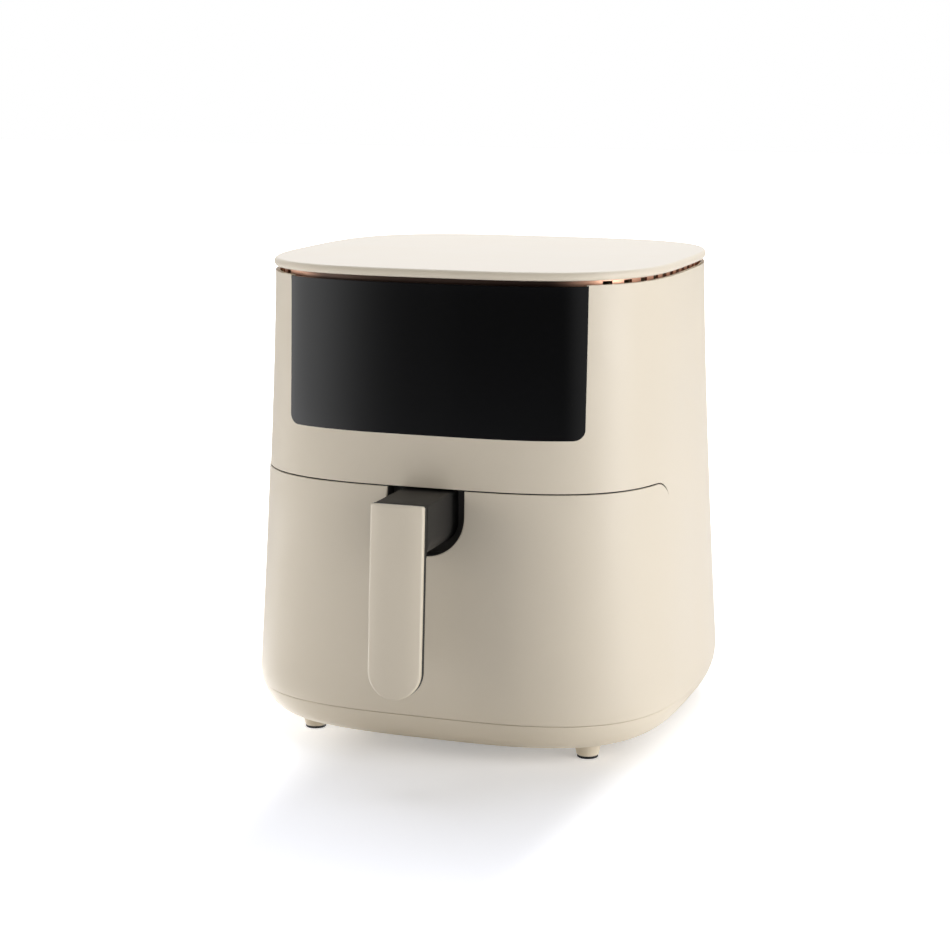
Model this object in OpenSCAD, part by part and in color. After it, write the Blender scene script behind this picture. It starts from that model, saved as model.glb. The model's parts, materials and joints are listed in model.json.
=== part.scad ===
// Single-drawer air fryer: a flared squircle body with a dark touch panel, a ring of vents
// under the lid, and a drawer with a front handle, a pan and a crisper plate.
// Millimetres. +Z is up and the front faces -Y. The origin is the middle of the footprint,
// handle included, at worktop level. Sub-parts are drawn about the middle of the body and
// moved there by in_place().

/* [Body] */
// Greatest outside width of the housing
body_w = 296; // [294:1:306]
// Greatest outside depth of the housing, without the handle
body_d = 281; // [280:1:290]
// Height from the worktop to the top of the lid
overall_h = 320; // [318:1:332]
// How square the outline is in plan, where 2 is an ellipse
squareness = 3.35; // [3.25:0.05:3.8]
// Height of the widest level of the body
shoulder_z = 40; // [38:1:46]
// How far the sides lean in from the widest level to the rim
top_inset = 12.6; // [10:0.1:13.4]
// How the lean is spread, where 1 is a straight side
lean_power = 1.25; // [1:0.05:1.4]
// How far the underside tucks in from the widest level
base_inset = 17.5; // [12:0.5:20]
// Height of the body's underside above the worktop
under_z = 11.5; // [10:0.5:13]
// Thickness of the plastic walls
wall = 2.5; // [2:0.1:2.8]
// Visible upright joint at each side of the drawer front
seam = 0.8; // [0.6:0.1:1]
// Visible joint above the drawer front
top_seam = 1.4; // [1:0.1:1.6]
// Visible joint between the base and the covers above it
base_seam = 0.5; // [0.4:0.1:0.8]
// Clearance between pieces that are fitted together
fit_gap = 0.25; // [0.2:0.05:0.3]

/* [Lid and vent] */
// Thickness of the lid plate
lid_t = 5.7; // [4:0.1:6]
// How far the lid stands out past the rim of the body
lid_lip = 0.7; // [0:0.1:2]
// Open height between the lid and the rim of the body
vent_gap = 3.4; // [2.5:0.1:4]
// How far the vent ring sits back from the rim
vent_setback = 5; // [4.5:0.1:6]
// Thickness of the vent ring
vent_t = 1.8; // [1.5:0.1:2.2]
// Number of slots in a full turn of the vent ring
vent_slots = 56; // [36:4:60]
// Angle on each side of the front that has no slots, over the touch panel
vent_blank = 45; // [40:1:60]
// Width of one slot
vent_slot_w = 7; // [4:0.5:8]

/* [Touch panel] */
// Width of the dark panel
panel_w = 202; // [180:1:206]
// Height of the dark panel, down from the rim
panel_h = 96.8; // [88:0.1:102]
// Radius of the panel's two lower corners
panel_r = 7; // [3:1:10]
// Thickness of the dark panel
panel_t = 1.5; // [1.2:0.1:1.7]
// Thickness of the carrier behind the panel
carrier_t = 2; // [1.5:0.1:2.5]
// Width of the touch circuit board
touch_board_w = 124; // [100:2:130]
// Height of the touch circuit board
touch_board_h = 58; // [50:2:60]
// Thickness of the circuit boards
board_t = 1.6; // [1.2:0.2:2]

/* [Drawer front] */
// Height of the joint between the base and the covers above it
base_seam_z = 30.85; // [30:0.05:32]
// Place of the upright joint on each side, measured from the middle of the body
side_seam_y = -51; // [-56:0.5:-46]
// Radius of the drawer front's upper rear corners
side_seam_r = 19; // [4:1:22]
// How far the drawer front stands out past the body above it
front_proud = 0.5; // [0:0.1:0.6]
// Width of the shelf along the top of the drawer front
shelf_w = 14; // [12:0.5:15]
// Thickness of the shelf
shelf_t = 2; // [1.6:0.1:2.4]
// How far the shelf stops short of the bend of the side joint
shelf_end = 1.5; // [1:0.5:3]
// Thickness of the plate behind the drawer front
inner_t = 2.5; // [2:0.1:3]

/* [Handle] */
// Width of the grip
grip_w = 35.6; // [34:0.1:42]
// Length of the grip
grip_l = 122.5; // [100:0.5:126]
// Distance from the drawer front to the face of the grip
grip_reach = 51.5; // [40:0.5:54]
// How much more the grip leans than the drawer front, in degrees
grip_lean = 1.1; // [0:0.1:1.5]
// Thickness of the pale cover on the grip
cover_t = 5; // [4:0.5:6]
// Thickness of the dark back of the grip
back_t = 4.5; // [3.5:0.5:6]
// Height of the arm that carries the grip
arm_h = 36; // [30:1:37]
// Radius of the arm's lower edges
arm_r = 15; // [8:1:15]
// Radius of the hollow curve between the arm and the back of the grip
arm_fillet = 12; // [6:1:16]
// Drop from the joint above the drawer to the top of the handle
handle_drop = 2; // [1.8:0.1:4]
// Width of the dark pocket behind the arm
pocket_w = 53; // [46:1:56]
// Height of the dark pocket
pocket_h = 44.3; // [41:0.1:46]
// Thickness of the pocket's walls
pocket_t = 1.8; // [1.4:0.1:2.2]

/* [Pan and crisper plate] */
// Outside width of the pan below its rim
pan_w = 222; // [212:1:223]
// Distance from the front of the pan to the widest level of the body
front_room = 32.5; // [31.5:0.5:36]
// Distance from the back of the pan to the widest level of the body
back_room = 40.5; // [40:0.5:44]
// Height of the pan
pan_h = 140; // [130:1:142]
// Height of the pan's underside above the floor of the bay
pan_lift = 2.3; // [2:0.1:3]
// Radius of the pan's upright corners
pan_r = 40; // [32:1:46]
// Radius between the pan's floor and its walls
pan_floor_r = 9; // [5:1:12]
// Thickness of the pan's metal
pan_t = 1.6; // [1.2:0.1:2]
// How much each side of the pan is smaller at the bottom
pan_draft = 4; // [2:0.5:6]
// Width of the rim that is turned out around the pan
pan_rim = 3; // [2:0.5:3.5]
// Running clearance between the pan's rim and the bay's walls
bay_gap = 1.5; // [1:0.1:2]
// Running clearance between the pan's rim and the deck above it
pan_headroom = 5.1; // [4:0.1:6]
// Height of the crisper plate above the pan's floor
plate_lift = 15; // [12:1:20]
// Thickness of the crisper plate
plate_t = 2; // [1.5:0.5:3]
// Clearance between the crisper plate and the pan's walls
plate_gap = 2.5; // [2:0.5:4]
// Radius of one hole in the crisper plate
plate_hole_r = 3.6; // [2.5:0.1:4.5]
// Distance between the holes in the crisper plate
plate_pitch = 18; // [16:1:24]

/* [Feet] */
// Distance of each foot from the middle, sideways
foot_x = 97; // [90:1:99]
// Distance of each foot from the middle, front to back
foot_y = 91; // [84:1:93]
// Radius of a foot where it meets the underside
foot_r = 9.5; // [8.5:0.5:11]
// Radius of a foot's stem through the floor of the base
foot_stem_r = 4.5; // [4:0.5:5.5]
// Radius of a foot's rubber pad
pad_r = 7; // [6:0.5:8]
// Thickness of the rubber pad below the foot
pad_t = 1.8; // [1.4:0.1:2.4]
// Radius of the pad's stem inside the foot
pad_stem_r = 3; // [2.5:0.5:4]

/* [Hood and heater] */
// Distance from the bay's side walls in to the cooking hood
hood_side = 12.5; // [11.5:0.5:15]
// Distance from the bay's front and back in to the cooking hood
hood_end = 10.5; // [9.5:0.5:12.5]
// Thickness of the hood's and shield's sheet steel
sheet_t = 1; // [0.8:0.1:1.2]
// Height of the hood above its deck
hood_h = 47; // [46:1:54]
// Thickness of the deck that closes the top of the bay
deck_t = 2; // [1.5:0.1:2.5]
// Distance from the heater's outer loop to the hood's front and back
heater_room = 13; // [11:0.5:15]
// Distance between the heater's two loops
heater_pitch = 18; // [16:1:20]
// Radius of the heater tube
tube_r = 3.3; // [3:0.1:4]
// Height of the heater above the deck
heater_up = 15.5; // [14:0.5:18]
// Distance from the hood's roof to the heat shield
shield_gap = 5; // [5:0.5:7]

/* [Fan and motor] */
// Radius of the convection fan
fan_r = 72; // [60:1:74]
// Height of the convection fan's blades
fan_h = 14; // [10:1:15]
// Radius of the cooling fan
cool_r = 50; // [40:1:52]
// Height of the cooling fan's blades
cool_h = 7; // [5:0.5:8]
// Radius of the motor shaft
shaft_r = 4; // [3:0.25:4.5]
// Running clearance between the shaft and what it turns in or carries
shaft_gap = 0.05; // [0.03:0.01:0.06]
// Radius of the rotor
rotor_r = 15.5; // [13:0.5:17]
// Air gap around the rotor
air_gap = 0.6; // [0.5:0.1:0.8]
// Height of the stack of stator plates
stack_h = 20; // [16:1:22]

/* [Mains inlet] */
// Radius of the bore that the mains cord passes through
cord_r = 3.75; // [3:0.25:4.5]
// Sideways place of the cord inlet
cord_x = 45; // [36:1:50]
// Height of the cord inlet
cord_z = 62; // [58:1:66]
// How far the inlet's bushing stands out behind the body
gland_out = 4; // [3:0.5:8]

/* [Hidden] */

$fn = 48;
RING_N = 96;
ARC_N = 8;
FAR = 400;
EPS = 0.01;

CREAM = [0.86, 0.82, 0.73];
CHARCOAL = [0.16, 0.155, 0.15];
GLOSS_BLACK = [0.03, 0.03, 0.035];
COPPER_TRIM = [0.62, 0.36, 0.26];
RUBBER = [0.06, 0.06, 0.06];
LINER_GREY = [0.13, 0.13, 0.135];
COATING = [0.2, 0.2, 0.21];
STEEL = [0.66, 0.66, 0.67];
ALUMINIUM = [0.76, 0.77, 0.78];
BRASS = [0.72, 0.58, 0.3];
BOARD_GREEN = [0.1, 0.32, 0.2];
WINDING = [0.66, 0.34, 0.16];
NYLON = [0.85, 0.85, 0.82];
SILICONE = [0.35, 0.35, 0.36];

// Levels that several pieces share, from the worktop up
lid_z = overall_h - lid_t;
rim_z = lid_z - vent_gap;
base_top = base_seam_z - base_seam / 2;
tongue_h = 3;
tongue_t = 1.6;
floor_z = base_top + tongue_h;
floor_t = 1.5;
bay_z = floor_z + floor_t;
pan_z = bay_z + pan_lift;
front_z0 = base_seam_z + base_seam / 2;
deck_z = pan_z + pan_h + pan_headroom;
deck_lip = 0.8;
drawer_top_z = deck_z - top_seam / 2 - deck_lip;
front_z1 = drawer_top_z - top_seam / 2;
deck_top = deck_z + deck_t;
roof_z = deck_top + hood_h;
shield_z = roof_z + shield_gap;
shield_top = shield_z + sheet_t;
heater_z = deck_top + heater_up;

// Plan of the bay that the pan slides in
pan_d = body_d - front_room - back_room;
bay_y = (front_room - back_room) / 2;
bay_w = pan_w + 2 * pan_rim + 2 * bay_gap;
bay_d = pan_d + 2 * pan_rim + 2 * bay_gap;
bay_r = pan_r + pan_rim + bay_gap;
liner_t = 1.2;
liner_front_y = bay_y - pan_d / 2 + 18;
liner_back_y = bay_y + bay_d / 2 + liner_t;
rail_x = bay_w / 2 - 49.5;
rail_w = 8;
running_gap = 0.3;

// How far the side has leaned in at height z, from the widest level
function lean(z) = z >= shoulder_z
    ? top_inset * (1 - pow(max(0, 1 - (z - shoulder_z) / (rim_z - shoulder_z)), lean_power))
    : base_inset * (1 - sqrt(max(0, 1 - pow((shoulder_z - z) / (shoulder_z - under_z), 2))));

// One point of the squircle with half-axes a and b, in direction t
function squircle_point(a, b, t) = let (
    s = pow(abs(cos(t)) / a, squareness) + pow(abs(sin(t)) / b, squareness),
    r = pow(s, -1 / squareness)
) [r * cos(t), r * sin(t)];

// Outline in plan, set in by some distance from the widest level
function plan(inset) = [
    for (i = [0:RING_N - 1])
        squircle_point(body_w / 2 - inset, body_d / 2 - inset, 360 * i / RING_N)
];

// The same outline as a level ring of points
function plan_ring(inset, z) = [for (p = plan(inset)) [p.x, p.y, z]];

// Half-width of the body at depth y and height z, a distance off inside its skin
function half_x(y, z, off) = let (
    a = body_w / 2 - lean(z) - off,
    b = body_d / 2 - lean(z) - off
) a * pow(max(0, 1 - pow(abs(y) / b, squareness)), 1 / squareness);

// Distance of the body's skin from its middle plane, front or back, at height z
function skin_y(z, x = 0) = let (
    a = body_w / 2 - lean(z),
    b = body_d / 2 - lean(z)
) b * pow(1 - pow(abs(x) / a, squareness), 1 / squareness);

// Rectangle w by d about the origin, with arcs of radius r as its corners
function round_rect(w, d, r) = [
    for (q = [0:3])
        let (cx = (q == 0 || q == 3 ? 1 : -1) * (w / 2 - r), cy = (q < 2 ? 1 : -1) * (d / 2 - r))
            for (i = [0:ARC_N])
                let (t = 90 * (q + i / ARC_N)) [cx + r * cos(t), cy + r * sin(t)]
];

// Whether the point x, y lies in such a rectangle
function in_round_rect(x, y, w, d, r) = let (
    cx = max(0, abs(x) - (w / 2 - r)),
    cy = max(0, abs(y) - (d / 2 - r))
) sqrt(cx * cx + cy * cy) <= r;

// Outline with a straight top at 0, going down h, with lower corners of radius r
function tab_outline(w, h, r) = concat(
    [[w / 2, 0], [-w / 2, 0]],
    [for (i = [0:ARC_N]) let (t = 180 + 90 * i / ARC_N) [-w / 2 + r + r * cos(t), -h + r + r * sin(t)]],
    [for (i = [0:ARC_N]) let (t = 270 + 90 * i / ARC_N) [w / 2 - r + r * cos(t), -h + r + r * sin(t)]]
);

// Solid through a stack of rings, closed at both ends
module loft(rings) {
    n = len(rings[0]);
    m = len(rings);
    polyhedron(
        points = [for (ring = rings) each ring],
        faces = concat(
            [[for (j = [0:n - 1]) j]],
            [
                for (i = [0:m - 2])
                    for (j = [0:n - 1])
                        let (k = (j + 1) % n) [i * n + j, (i + 1) * n + j, (i + 1) * n + k, i * n + k]
            ],
            [[for (j = [n - 1:-1:0]) (m - 1) * n + j]]
        ),
        convexity = 8
    );
}

// Hollow solid through rings that come back to the first one
module ring_loft(rings) {
    n = len(rings[0]);
    m = len(rings);
    polyhedron(
        points = [for (ring = rings) each ring],
        faces = [
            for (i = [0:m - 1])
                for (j = [0:n - 1])
                    let (k = (j + 1) % n, u = (i + 1) % m) [i * n + j, u * n + j, u * n + k, i * n + k]
        ],
        convexity = 8
    );
}

// Levels from z0 to z1, with one at the shoulder and another below it where they start lower
function skin_levels(z0, z1, steps) = let (low = max(z0, shoulder_z)) concat(
    z0 < shoulder_z ? [z0, (z0 + shoulder_z) / 2] : [],
    [for (i = [0:steps]) low + (z1 - low) * i / steps]
);

// Band of the body's skin from z0 to z1, t thick, its outer face off inside the skin
module skin_band(z0, z1, off, t, steps) {
    zs = skin_levels(z0, z1, steps);
    ring_loft(concat(
        [for (z = zs) plan_ring(lean(z) + off, z)],
        [for (i = [len(zs) - 1:-1:0]) plan_ring(lean(zs[i]) + off + t, zs[i])]
    ));
}

// Level plate in the shape of the body's plan
module plan_plate(inset, z, t) {
    translate([0, 0, z]) linear_extrude(t) polygon(plan(inset));
}

// Upright plate from y to y + t whose outline is given as [x, z] points
module upright_plate(y, t, outline) {
    translate([0, y + t, 0]) rotate([90, 0, 0]) linear_extrude(t) polygon(outline);
}

// Plate from x0 to x1 whose outline is given as [y, z] points
module side_plate(x0, x1, outline) {
    translate([x0, 0, 0]) rotate([90, 0, 90]) linear_extrude(x1 - x0) polygon(outline);
}

// Box with rounded upright corners about the axis of the bay
module bay_box(w, d, r, z, h) {
    translate([0, bay_y, z]) linear_extrude(h) polygon(round_rect(w, d, r));
}

// Round bar along Y from y0 to y1
module y_bar(x, z, r, y0, y1) {
    translate([x, y1, z]) rotate([90, 0, 0]) cylinder(r = r, h = y1 - y0);
}

// Normals carried along a path with as little turning as possible
function carried(ts, u, i = 0) = i >= len(ts)
    ? []
    : let (v = u - ts[i] * (u * ts[i]), n = v / norm(v)) concat([n], carried(ts, n, i + 1));

// Round bar of radius r along a path of points
module bar_along(path, r, sides) {
    last = len(path) - 1;
    ts = [
        for (i = [0:last])
            let (d = path[min(last, i + 1)] - path[max(0, i - 1)]) d / norm(d)
    ];
    us = carried(ts, abs(ts[0].z) < 0.9 ? [0, 0, 1] : [1, 0, 0]);
    loft([
        for (i = [0:last])
            [
                for (k = [0:sides - 1])
                    let (t = 360 * k / sides) path[i] + r * (cos(t) * us[i] + sin(t) * cross(ts[i], us[i]))
            ]
    ]);
}

// Smooth path through four control points, with n steps
function curve(a, b, c, d, n) = [
    for (i = [0:n])
        let (t = i / n, s = 1 - t)
            s * s * s * a + 3 * s * s * t * b + 3 * s * t * t * c + t * t * t * d
];

// Handle: its own frame leans with the grip, and has the grip's top edge at Z = 0
handle_z = drawer_top_z - handle_drop;
handle_y = -skin_y(handle_z) - front_proud;
handle_tilt = atan((skin_y(handle_z - grip_l) - skin_y(handle_z)) / grip_l) + grip_lean;
grip_z = handle_z - (grip_reach - cover_t - back_t) * sin(handle_tilt);
grip_edge = 1;
front_reach = -handle_y + grip_reach * cos(handle_tilt) + (grip_l - grip_edge) * sin(handle_tilt);
bracket_d = 8;
inner_back = bay_y - pan_d / 2 - bracket_d;
inner_y = inner_back - inner_t;
screw_x = 9;
screw_z = handle_z - arm_h / 2;
screw_r = 1.8;

// The body's middle is moved back so that the whole footprint is centred
gland_y = body_d / 2 + gland_out;
y_shift = (front_reach - gland_y) / 2;

module in_place() {
    translate([0, y_shift, 0]) children();
}

module in_handle_frame() {
    translate([0, handle_y, grip_z]) rotate([-handle_tilt, 0, 0]) children();
}

// Space that the drawer front takes out of the body: below the joint, ahead of the side seam.
// Its edges lie beyond the middle of the joints for a side of 1 and short of it for a side of -1
module drawer_zone(side) {
    r = side_seam_r;
    y1 = side_seam_y + side * seam / 2;
    z0 = base_top - FAR;
    z1 = drawer_top_z + side * top_seam / 2;
    corner = [for (i = [0:ARC_N]) let (t = 90 * i / ARC_N) [y1 - r + r * cos(t), z1 - r + r * sin(t)]];
    side_plate(-FAR, FAR, concat([[-FAR, z0], [y1, z0]], corner, [[-FAR, z1]]));
}

// Outline of the touch panel, widened all round by grow
module panel_zone(grow) {
    outline = tab_outline(panel_w + 2 * grow, panel_h + grow, panel_r + grow);
    translate([0, 0, rim_z])
        upright_plate(-FAR, FAR - body_d / 4, [for (p = outline) p + [0, p.y == 0 ? FAR : 0]]);
}

// Window in the back of the body for the grille
grille_w = 92;
grille_z0 = deck_top + 5.5;
grille_z1 = grille_z0 + 72;
module grille_zone(grow) {
    w = grille_w + 2 * grow;
    h = grille_z1 - grille_z0 + 2 * grow;
    translate([0, 0, (grille_z0 + grille_z1) / 2])
        upright_plate(body_d / 4, FAR, round_rect(w, h, 5 + grow));
}

module body_shell() {
    color(CREAM) in_place() difference() {
        skin_band(front_z0, rim_z, 0, wall, 8);
        drawer_zone(1);
        panel_zone(fit_gap);
        grille_zone(fit_gap);
        y_bar(cord_x, cord_z, gland_r + fit_gap, body_d / 4, FAR);
    }
}

// The lid is a plate with a full round edge and a rim that locates it inside the vent ring
module top_cover() {
    edge = 2;
    mid = lid_t / 2;
    inset = lean(rim_z) - lid_lip;
    rim_inset = lean(rim_z) + vent_setback + vent_t + fit_gap;
    color(CREAM) in_place() union() {
        loft([
            for (t = [-90:22.5:90])
                plan_ring(inset + edge * (1 - cos(t)), lid_z + mid + mid * sin(t))
        ]);
        difference() {
            plan_plate(rim_inset, lid_z - 5, 5 + EPS);
            plan_plate(rim_inset + 2, lid_z - 6, 6);
            vent_slots_zone(lid_z - 6, lid_z);
        }
    }
}

// Row of slots around the top, between two heights, with none over the touch panel
module vent_slots_zone(z0, z1) {
    for (i = [0:vent_slots - 1])
        let (turn = 360 * (i + 0.5) / vent_slots)
            if (abs(turn - 270) > vent_blank)
                rotate([0, 0, turn])
                    translate([body_d / 4, -vent_slot_w / 2, z0]) cube([FAR, vent_slot_w, z1 - z0]);
}

// The ring stands on a flange inside the body's rim and carries the lid
ring_foot_z = rim_z - 6;
module vent_ring() {
    inset = lean(rim_z) + vent_setback;
    color(COPPER_TRIM) in_place() difference() {
        union() {
            plan_plate(inset, ring_foot_z, lid_z - ring_foot_z);
            plan_plate(lean(rim_z) + wall + fit_gap, ring_foot_z, 1.5);
        }
        plan_plate(inset + vent_t, ring_foot_z - 1, FAR);
        vent_slots_zone(ring_foot_z + 3, lid_z - 1);
    }
}

module touch_panel() {
    color(GLOSS_BLACK) in_place() intersection() {
        skin_band(rim_z - panel_h - 1, rim_z, 0, panel_t, 4);
        panel_zone(0);
    }
}

// The carrier follows the back of the panel and has four posts for the circuit board
carrier_off = panel_t + fit_gap;
carrier_z0 = rim_z - panel_h + 2;
carrier_z1 = ring_foot_z - 2;
carrier_w = panel_w - 5;
touch_board_z = rim_z - panel_h / 2 - 2;
touch_board_y = -skin_y(touch_board_z, touch_board_w / 2) + carrier_off + carrier_t + 4;
post_x = touch_board_w / 2 - 5;
post_z = touch_board_h / 2 - 5;
display_w = 72;
display_h = 26;
module panel_carrier() {
    carrier_h = carrier_z1 - carrier_z0;
    color(LINER_GREY) in_place() difference() {
        union() {
            intersection() {
                skin_band(carrier_z0 - 1, carrier_z1 + 1, carrier_off, carrier_t, 4);
                translate([0, 0, (carrier_z0 + carrier_z1) / 2])
                    upright_plate(-FAR, FAR - body_d / 4, round_rect(carrier_w, carrier_h, panel_r - 3));
            }
            for (sx = [-1, 1], sz = [-1, 1])
                intersection() {
                    y_bar(sx * post_x, touch_board_z + sz * post_z, 3, -FAR, touch_board_y);
                    plan_plate(lean(carrier_z0) + carrier_off + 3.2, carrier_z0, carrier_h);
                }
        }
        translate([0, 0, touch_board_z])
            upright_plate(-FAR, FAR - body_d / 4, round_rect(display_w + 1, display_h + 1, 2));
        for (sx = [-1, 1], sz = [-1, 1])
            y_bar(sx * post_x, touch_board_z + sz * post_z, 1.3, touch_board_y - 4.5, touch_board_y + 1);
    }
}

module touch_board() {
    color(BOARD_GREEN) in_place() difference() {
        translate([0, 0, touch_board_z])
            upright_plate(touch_board_y, board_t, round_rect(touch_board_w, touch_board_h, 3));
        for (sx = [-1, 1], sz = [-1, 1])
            y_bar(sx * post_x, touch_board_z + sz * post_z, 1.5, touch_board_y - 1, touch_board_y + 5);
    }
}

module display_module() {
    front = -skin_y(touch_board_z + display_h, display_w / 2) + panel_t + 1.2;
    color(CHARCOAL) in_place() translate([0, 0, touch_board_z])
        upright_plate(front, touch_board_y - front, round_rect(display_w, display_h, 1.5));
}

module touch_board_screws() {
    back = touch_board_y + board_t;
    color(STEEL) in_place() for (sx = [-1, 1], sz = [-1, 1])
        union() {
            y_bar(sx * post_x, touch_board_z + sz * post_z, 2.5, back, back + 1.8);
            y_bar(sx * post_x, touch_board_z + sz * post_z, 1.2, touch_board_y - 3.5, back + 0.5);
        }
}

// The base is a tray with a tongue that stands inside the covers above it
base_screw_x = 70;
base_screw_y = 78;
base_boss_h = 4;
module at_base_screws() {
    for (sx = [-1, 1], sy = [-1, 1]) translate([sx * base_screw_x, sy * base_screw_y, 0]) children();
}

module at_feet() {
    for (sx = [-1, 1], sy = [-1, 1]) translate([sx * foot_x, sy * foot_y, 0]) children();
}

module base_shell() {
    steps = 6;
    h = shoulder_z - under_z;
    t0 = asin((shoulder_z - base_top) / h);
    ts = [for (i = [0:steps]) 90 - (90 - t0) * i / steps];
    tongue = wall + fit_gap;
    inner = tongue + tongue_t;
    color(CREAM) in_place() difference() {
        union() {
            loft(concat(
                [for (t = ts) plan_ring(base_inset * (1 - cos(t)), shoulder_z - h * sin(t))],
                [
                    plan_ring(lean(base_top) + tongue, base_top),
                    plan_ring(lean(base_top) + tongue, floor_z),
                    plan_ring(lean(base_top) + inner, floor_z)
                ],
                [
                    for (i = [steps:-1:0])
                        plan_ring(inner + base_inset * (1 - cos(ts[i])), shoulder_z - (h - wall) * sin(ts[i]))
                ]
            ));
            at_base_screws() translate([0, 0, under_z + 1]) cylinder(r = 7, h = wall - 1 + base_boss_h);
        }
        at_feet() cylinder(r = foot_stem_r + fit_gap / 2, h = FAR);
        at_base_screws() {
            cylinder(r = 4, h = under_z + 3);
            cylinder(r = 1.8, h = FAR);
        }
    }
}

// A foot flares up to the underside, with a stem that is held in the floor of the base
module feet() {
    barb = 0.6;
    floor_top = under_z + wall;
    color(CREAM) in_place() at_feet() difference() {
        union() {
            translate([0, 0, pad_t]) cylinder(r1 = pad_r + 0.3, r2 = foot_r, h = under_z - pad_t);
            translate([0, 0, pad_t]) cylinder(r = foot_stem_r, h = floor_top - pad_t);
            translate([0, 0, floor_top]) cylinder(r1 = foot_stem_r + barb, r2 = foot_stem_r - 1, h = 2.2);
        }
        translate([0, 0, -1]) cylinder(r = pad_stem_r + fit_gap / 2, h = under_z - 1);
    }
}

module foot_pads() {
    color(RUBBER) in_place() at_feet() union() {
        cylinder(r = pad_r, h = pad_t);
        cylinder(r = pad_stem_r, h = under_z - 2);
    }
}

module base_screws() {
    head_z = under_z + 0.5;
    color(STEEL) in_place() at_base_screws() union() {
        translate([0, 0, head_z]) cylinder(r = 3.4, h = 2.5);
        translate([0, 0, head_z]) cylinder(r = 1.5, h = 18);
    }
}

// The liner is the floor of the bay with walls on three sides
plunger_x = 30;
plunger_z = drawer_top_z - 31;
plunger_r = 2;

// The bay's space, widened all round by grow, with its front left open
module bay_space(grow, z, h) {
    bay_box(bay_w + 2 * grow, bay_d + 2 * grow, bay_r + grow, z, h);
    translate([-bay_w / 2 - grow, -FAR, z]) cube([bay_w + 2 * grow, FAR + bay_y, h]);
}

module cavity_liner() {
    boss_z = under_z + wall + base_boss_h + fit_gap;
    rail_y0 = liner_front_y + 2;
    color(LINER_GREY) in_place() difference() {
        union() {
            plan_plate(lean(floor_z) + wall + fit_gap, floor_z, floor_t);
            difference() {
                bay_space(liner_t, floor_z, deck_z - floor_z);
                bay_space(0, floor_z - 1, FAR);
                translate([-FAR, -FAR, 0]) cube([2 * FAR, FAR + liner_front_y, FAR]);
            }
            for (sx = [-1, 1])
                translate([sx * rail_x - rail_w / 2, rail_y0, bay_z - EPS])
                    cube([rail_w, pan_d - 50, pan_lift - running_gap + EPS]);
            at_base_screws() translate([0, 0, boss_z]) cylinder(r = 4.5, h = floor_z - boss_z + EPS);
        }
        at_base_screws() translate([0, 0, boss_z - 1]) cylinder(r = 1.6, h = 13);
        y_bar(plunger_x, plunger_z, plunger_r + running_gap, bay_y, FAR);
    }
}

// The frame is the deck over the bay, with an upright plate behind each side seam
module bay_frame() {
    plate_t_y = 2;
    y0 = side_seam_y + 3;
    x0 = bay_w / 2 + liner_t + fit_gap;
    off = wall + fit_gap;
    zs = [for (i = [0:6]) bay_z + fit_gap + (deck_z + 0.5 - bay_z - fit_gap) * i / 6];
    color(LINER_GREY) in_place() union() {
        difference() {
            plan_plate(lean(deck_top) + off, deck_z, deck_t);
            bay_box(hood_in_w, hood_in_d, hood_r - sheet_t, deck_z - 1, FAR);
        }
        for (side = [0, 1])
            mirror([side, 0, 0])
                upright_plate(y0, plate_t_y, concat(
                    [for (z = zs) [half_x(y0, z, off), z]],
                    [[x0, zs[6]], [x0, zs[0]]]
                ));
    }
}

// A bowed leaf on each side wall of the bay holds the closed pan
spring_z = 88;
spring_h = 12;
spring_l = 30;
spring_y = liner_front_y + spring_l / 2 + 9;
spring_t = 0.5;
module detent_springs() {
    wall_x = bay_w / 2;
    pan_x = pan_w / 2 - pan_inset(spring_z + spring_h - pan_z);
    bow = wall_x - spring_t - pan_x - 0.5;
    steps = 12;
    function leaf(i) = let (s = i / steps)
        [wall_x - spring_t - bow * pow(sin(180 * s), 1.5), spring_y + spring_l * (s - 0.5)];
    inner = [for (i = [0:steps]) leaf(i)];
    outer = [for (i = [steps:-1:0]) leaf(i) + [spring_t, 0]];
    color(STEEL) in_place() for (side = [0, 1])
        mirror([side, 0, 0]) translate([0, 0, spring_z])
            linear_extrude(spring_h) polygon(concat(inner, outer));
}

// Hood over the bay, with openings for the shaft, the heater's ends, the probe and the exhaust
duct_w = 66;
duct_h = 26;
duct_z = deck_top + 12.5;
hood_w = bay_w - 2 * hood_side;
hood_d = bay_d - 2 * hood_end;
hood_r = bay_r - 4;
end_angles = [24, 6];
probe_y = bay_y - 40;
probe_z = heater_z + 13;
probe_r = 2.5;
module at_heater_ends() {
    for (t = end_angles) translate([heater_r * cos(t), bay_y + heater_r * sin(t), 0]) children();
}

hood_in_w = hood_w - 2 * sheet_t;
hood_in_d = hood_d - 2 * sheet_t;
heater_r = hood_in_d / 2 - heater_room;
module chamber_hood() {
    flange = 6;
    color(STEEL) in_place() difference() {
        union() {
            bay_box(hood_w, hood_d, hood_r, deck_top, hood_h);
            bay_box(hood_w + 2 * flange, hood_d + 2 * flange, hood_r + flange, deck_top, sheet_t);
        }
        bay_box(hood_in_w, hood_in_d, hood_r - sheet_t, deck_top - 1, hood_h + 1 - sheet_t);
        translate([0, bay_y, 0]) cylinder(r = shaft_r + 3, h = FAR);
        at_heater_ends() cylinder(r = tube_r + 1, h = FAR);
        translate([-duct_w / 2, bay_y, duct_z]) cube([duct_w, FAR, duct_h]);
        translate([0, probe_y, probe_z]) rotate([0, 90, 0]) cylinder(r = probe_r + fit_gap, h = FAR);
    }
}

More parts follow.
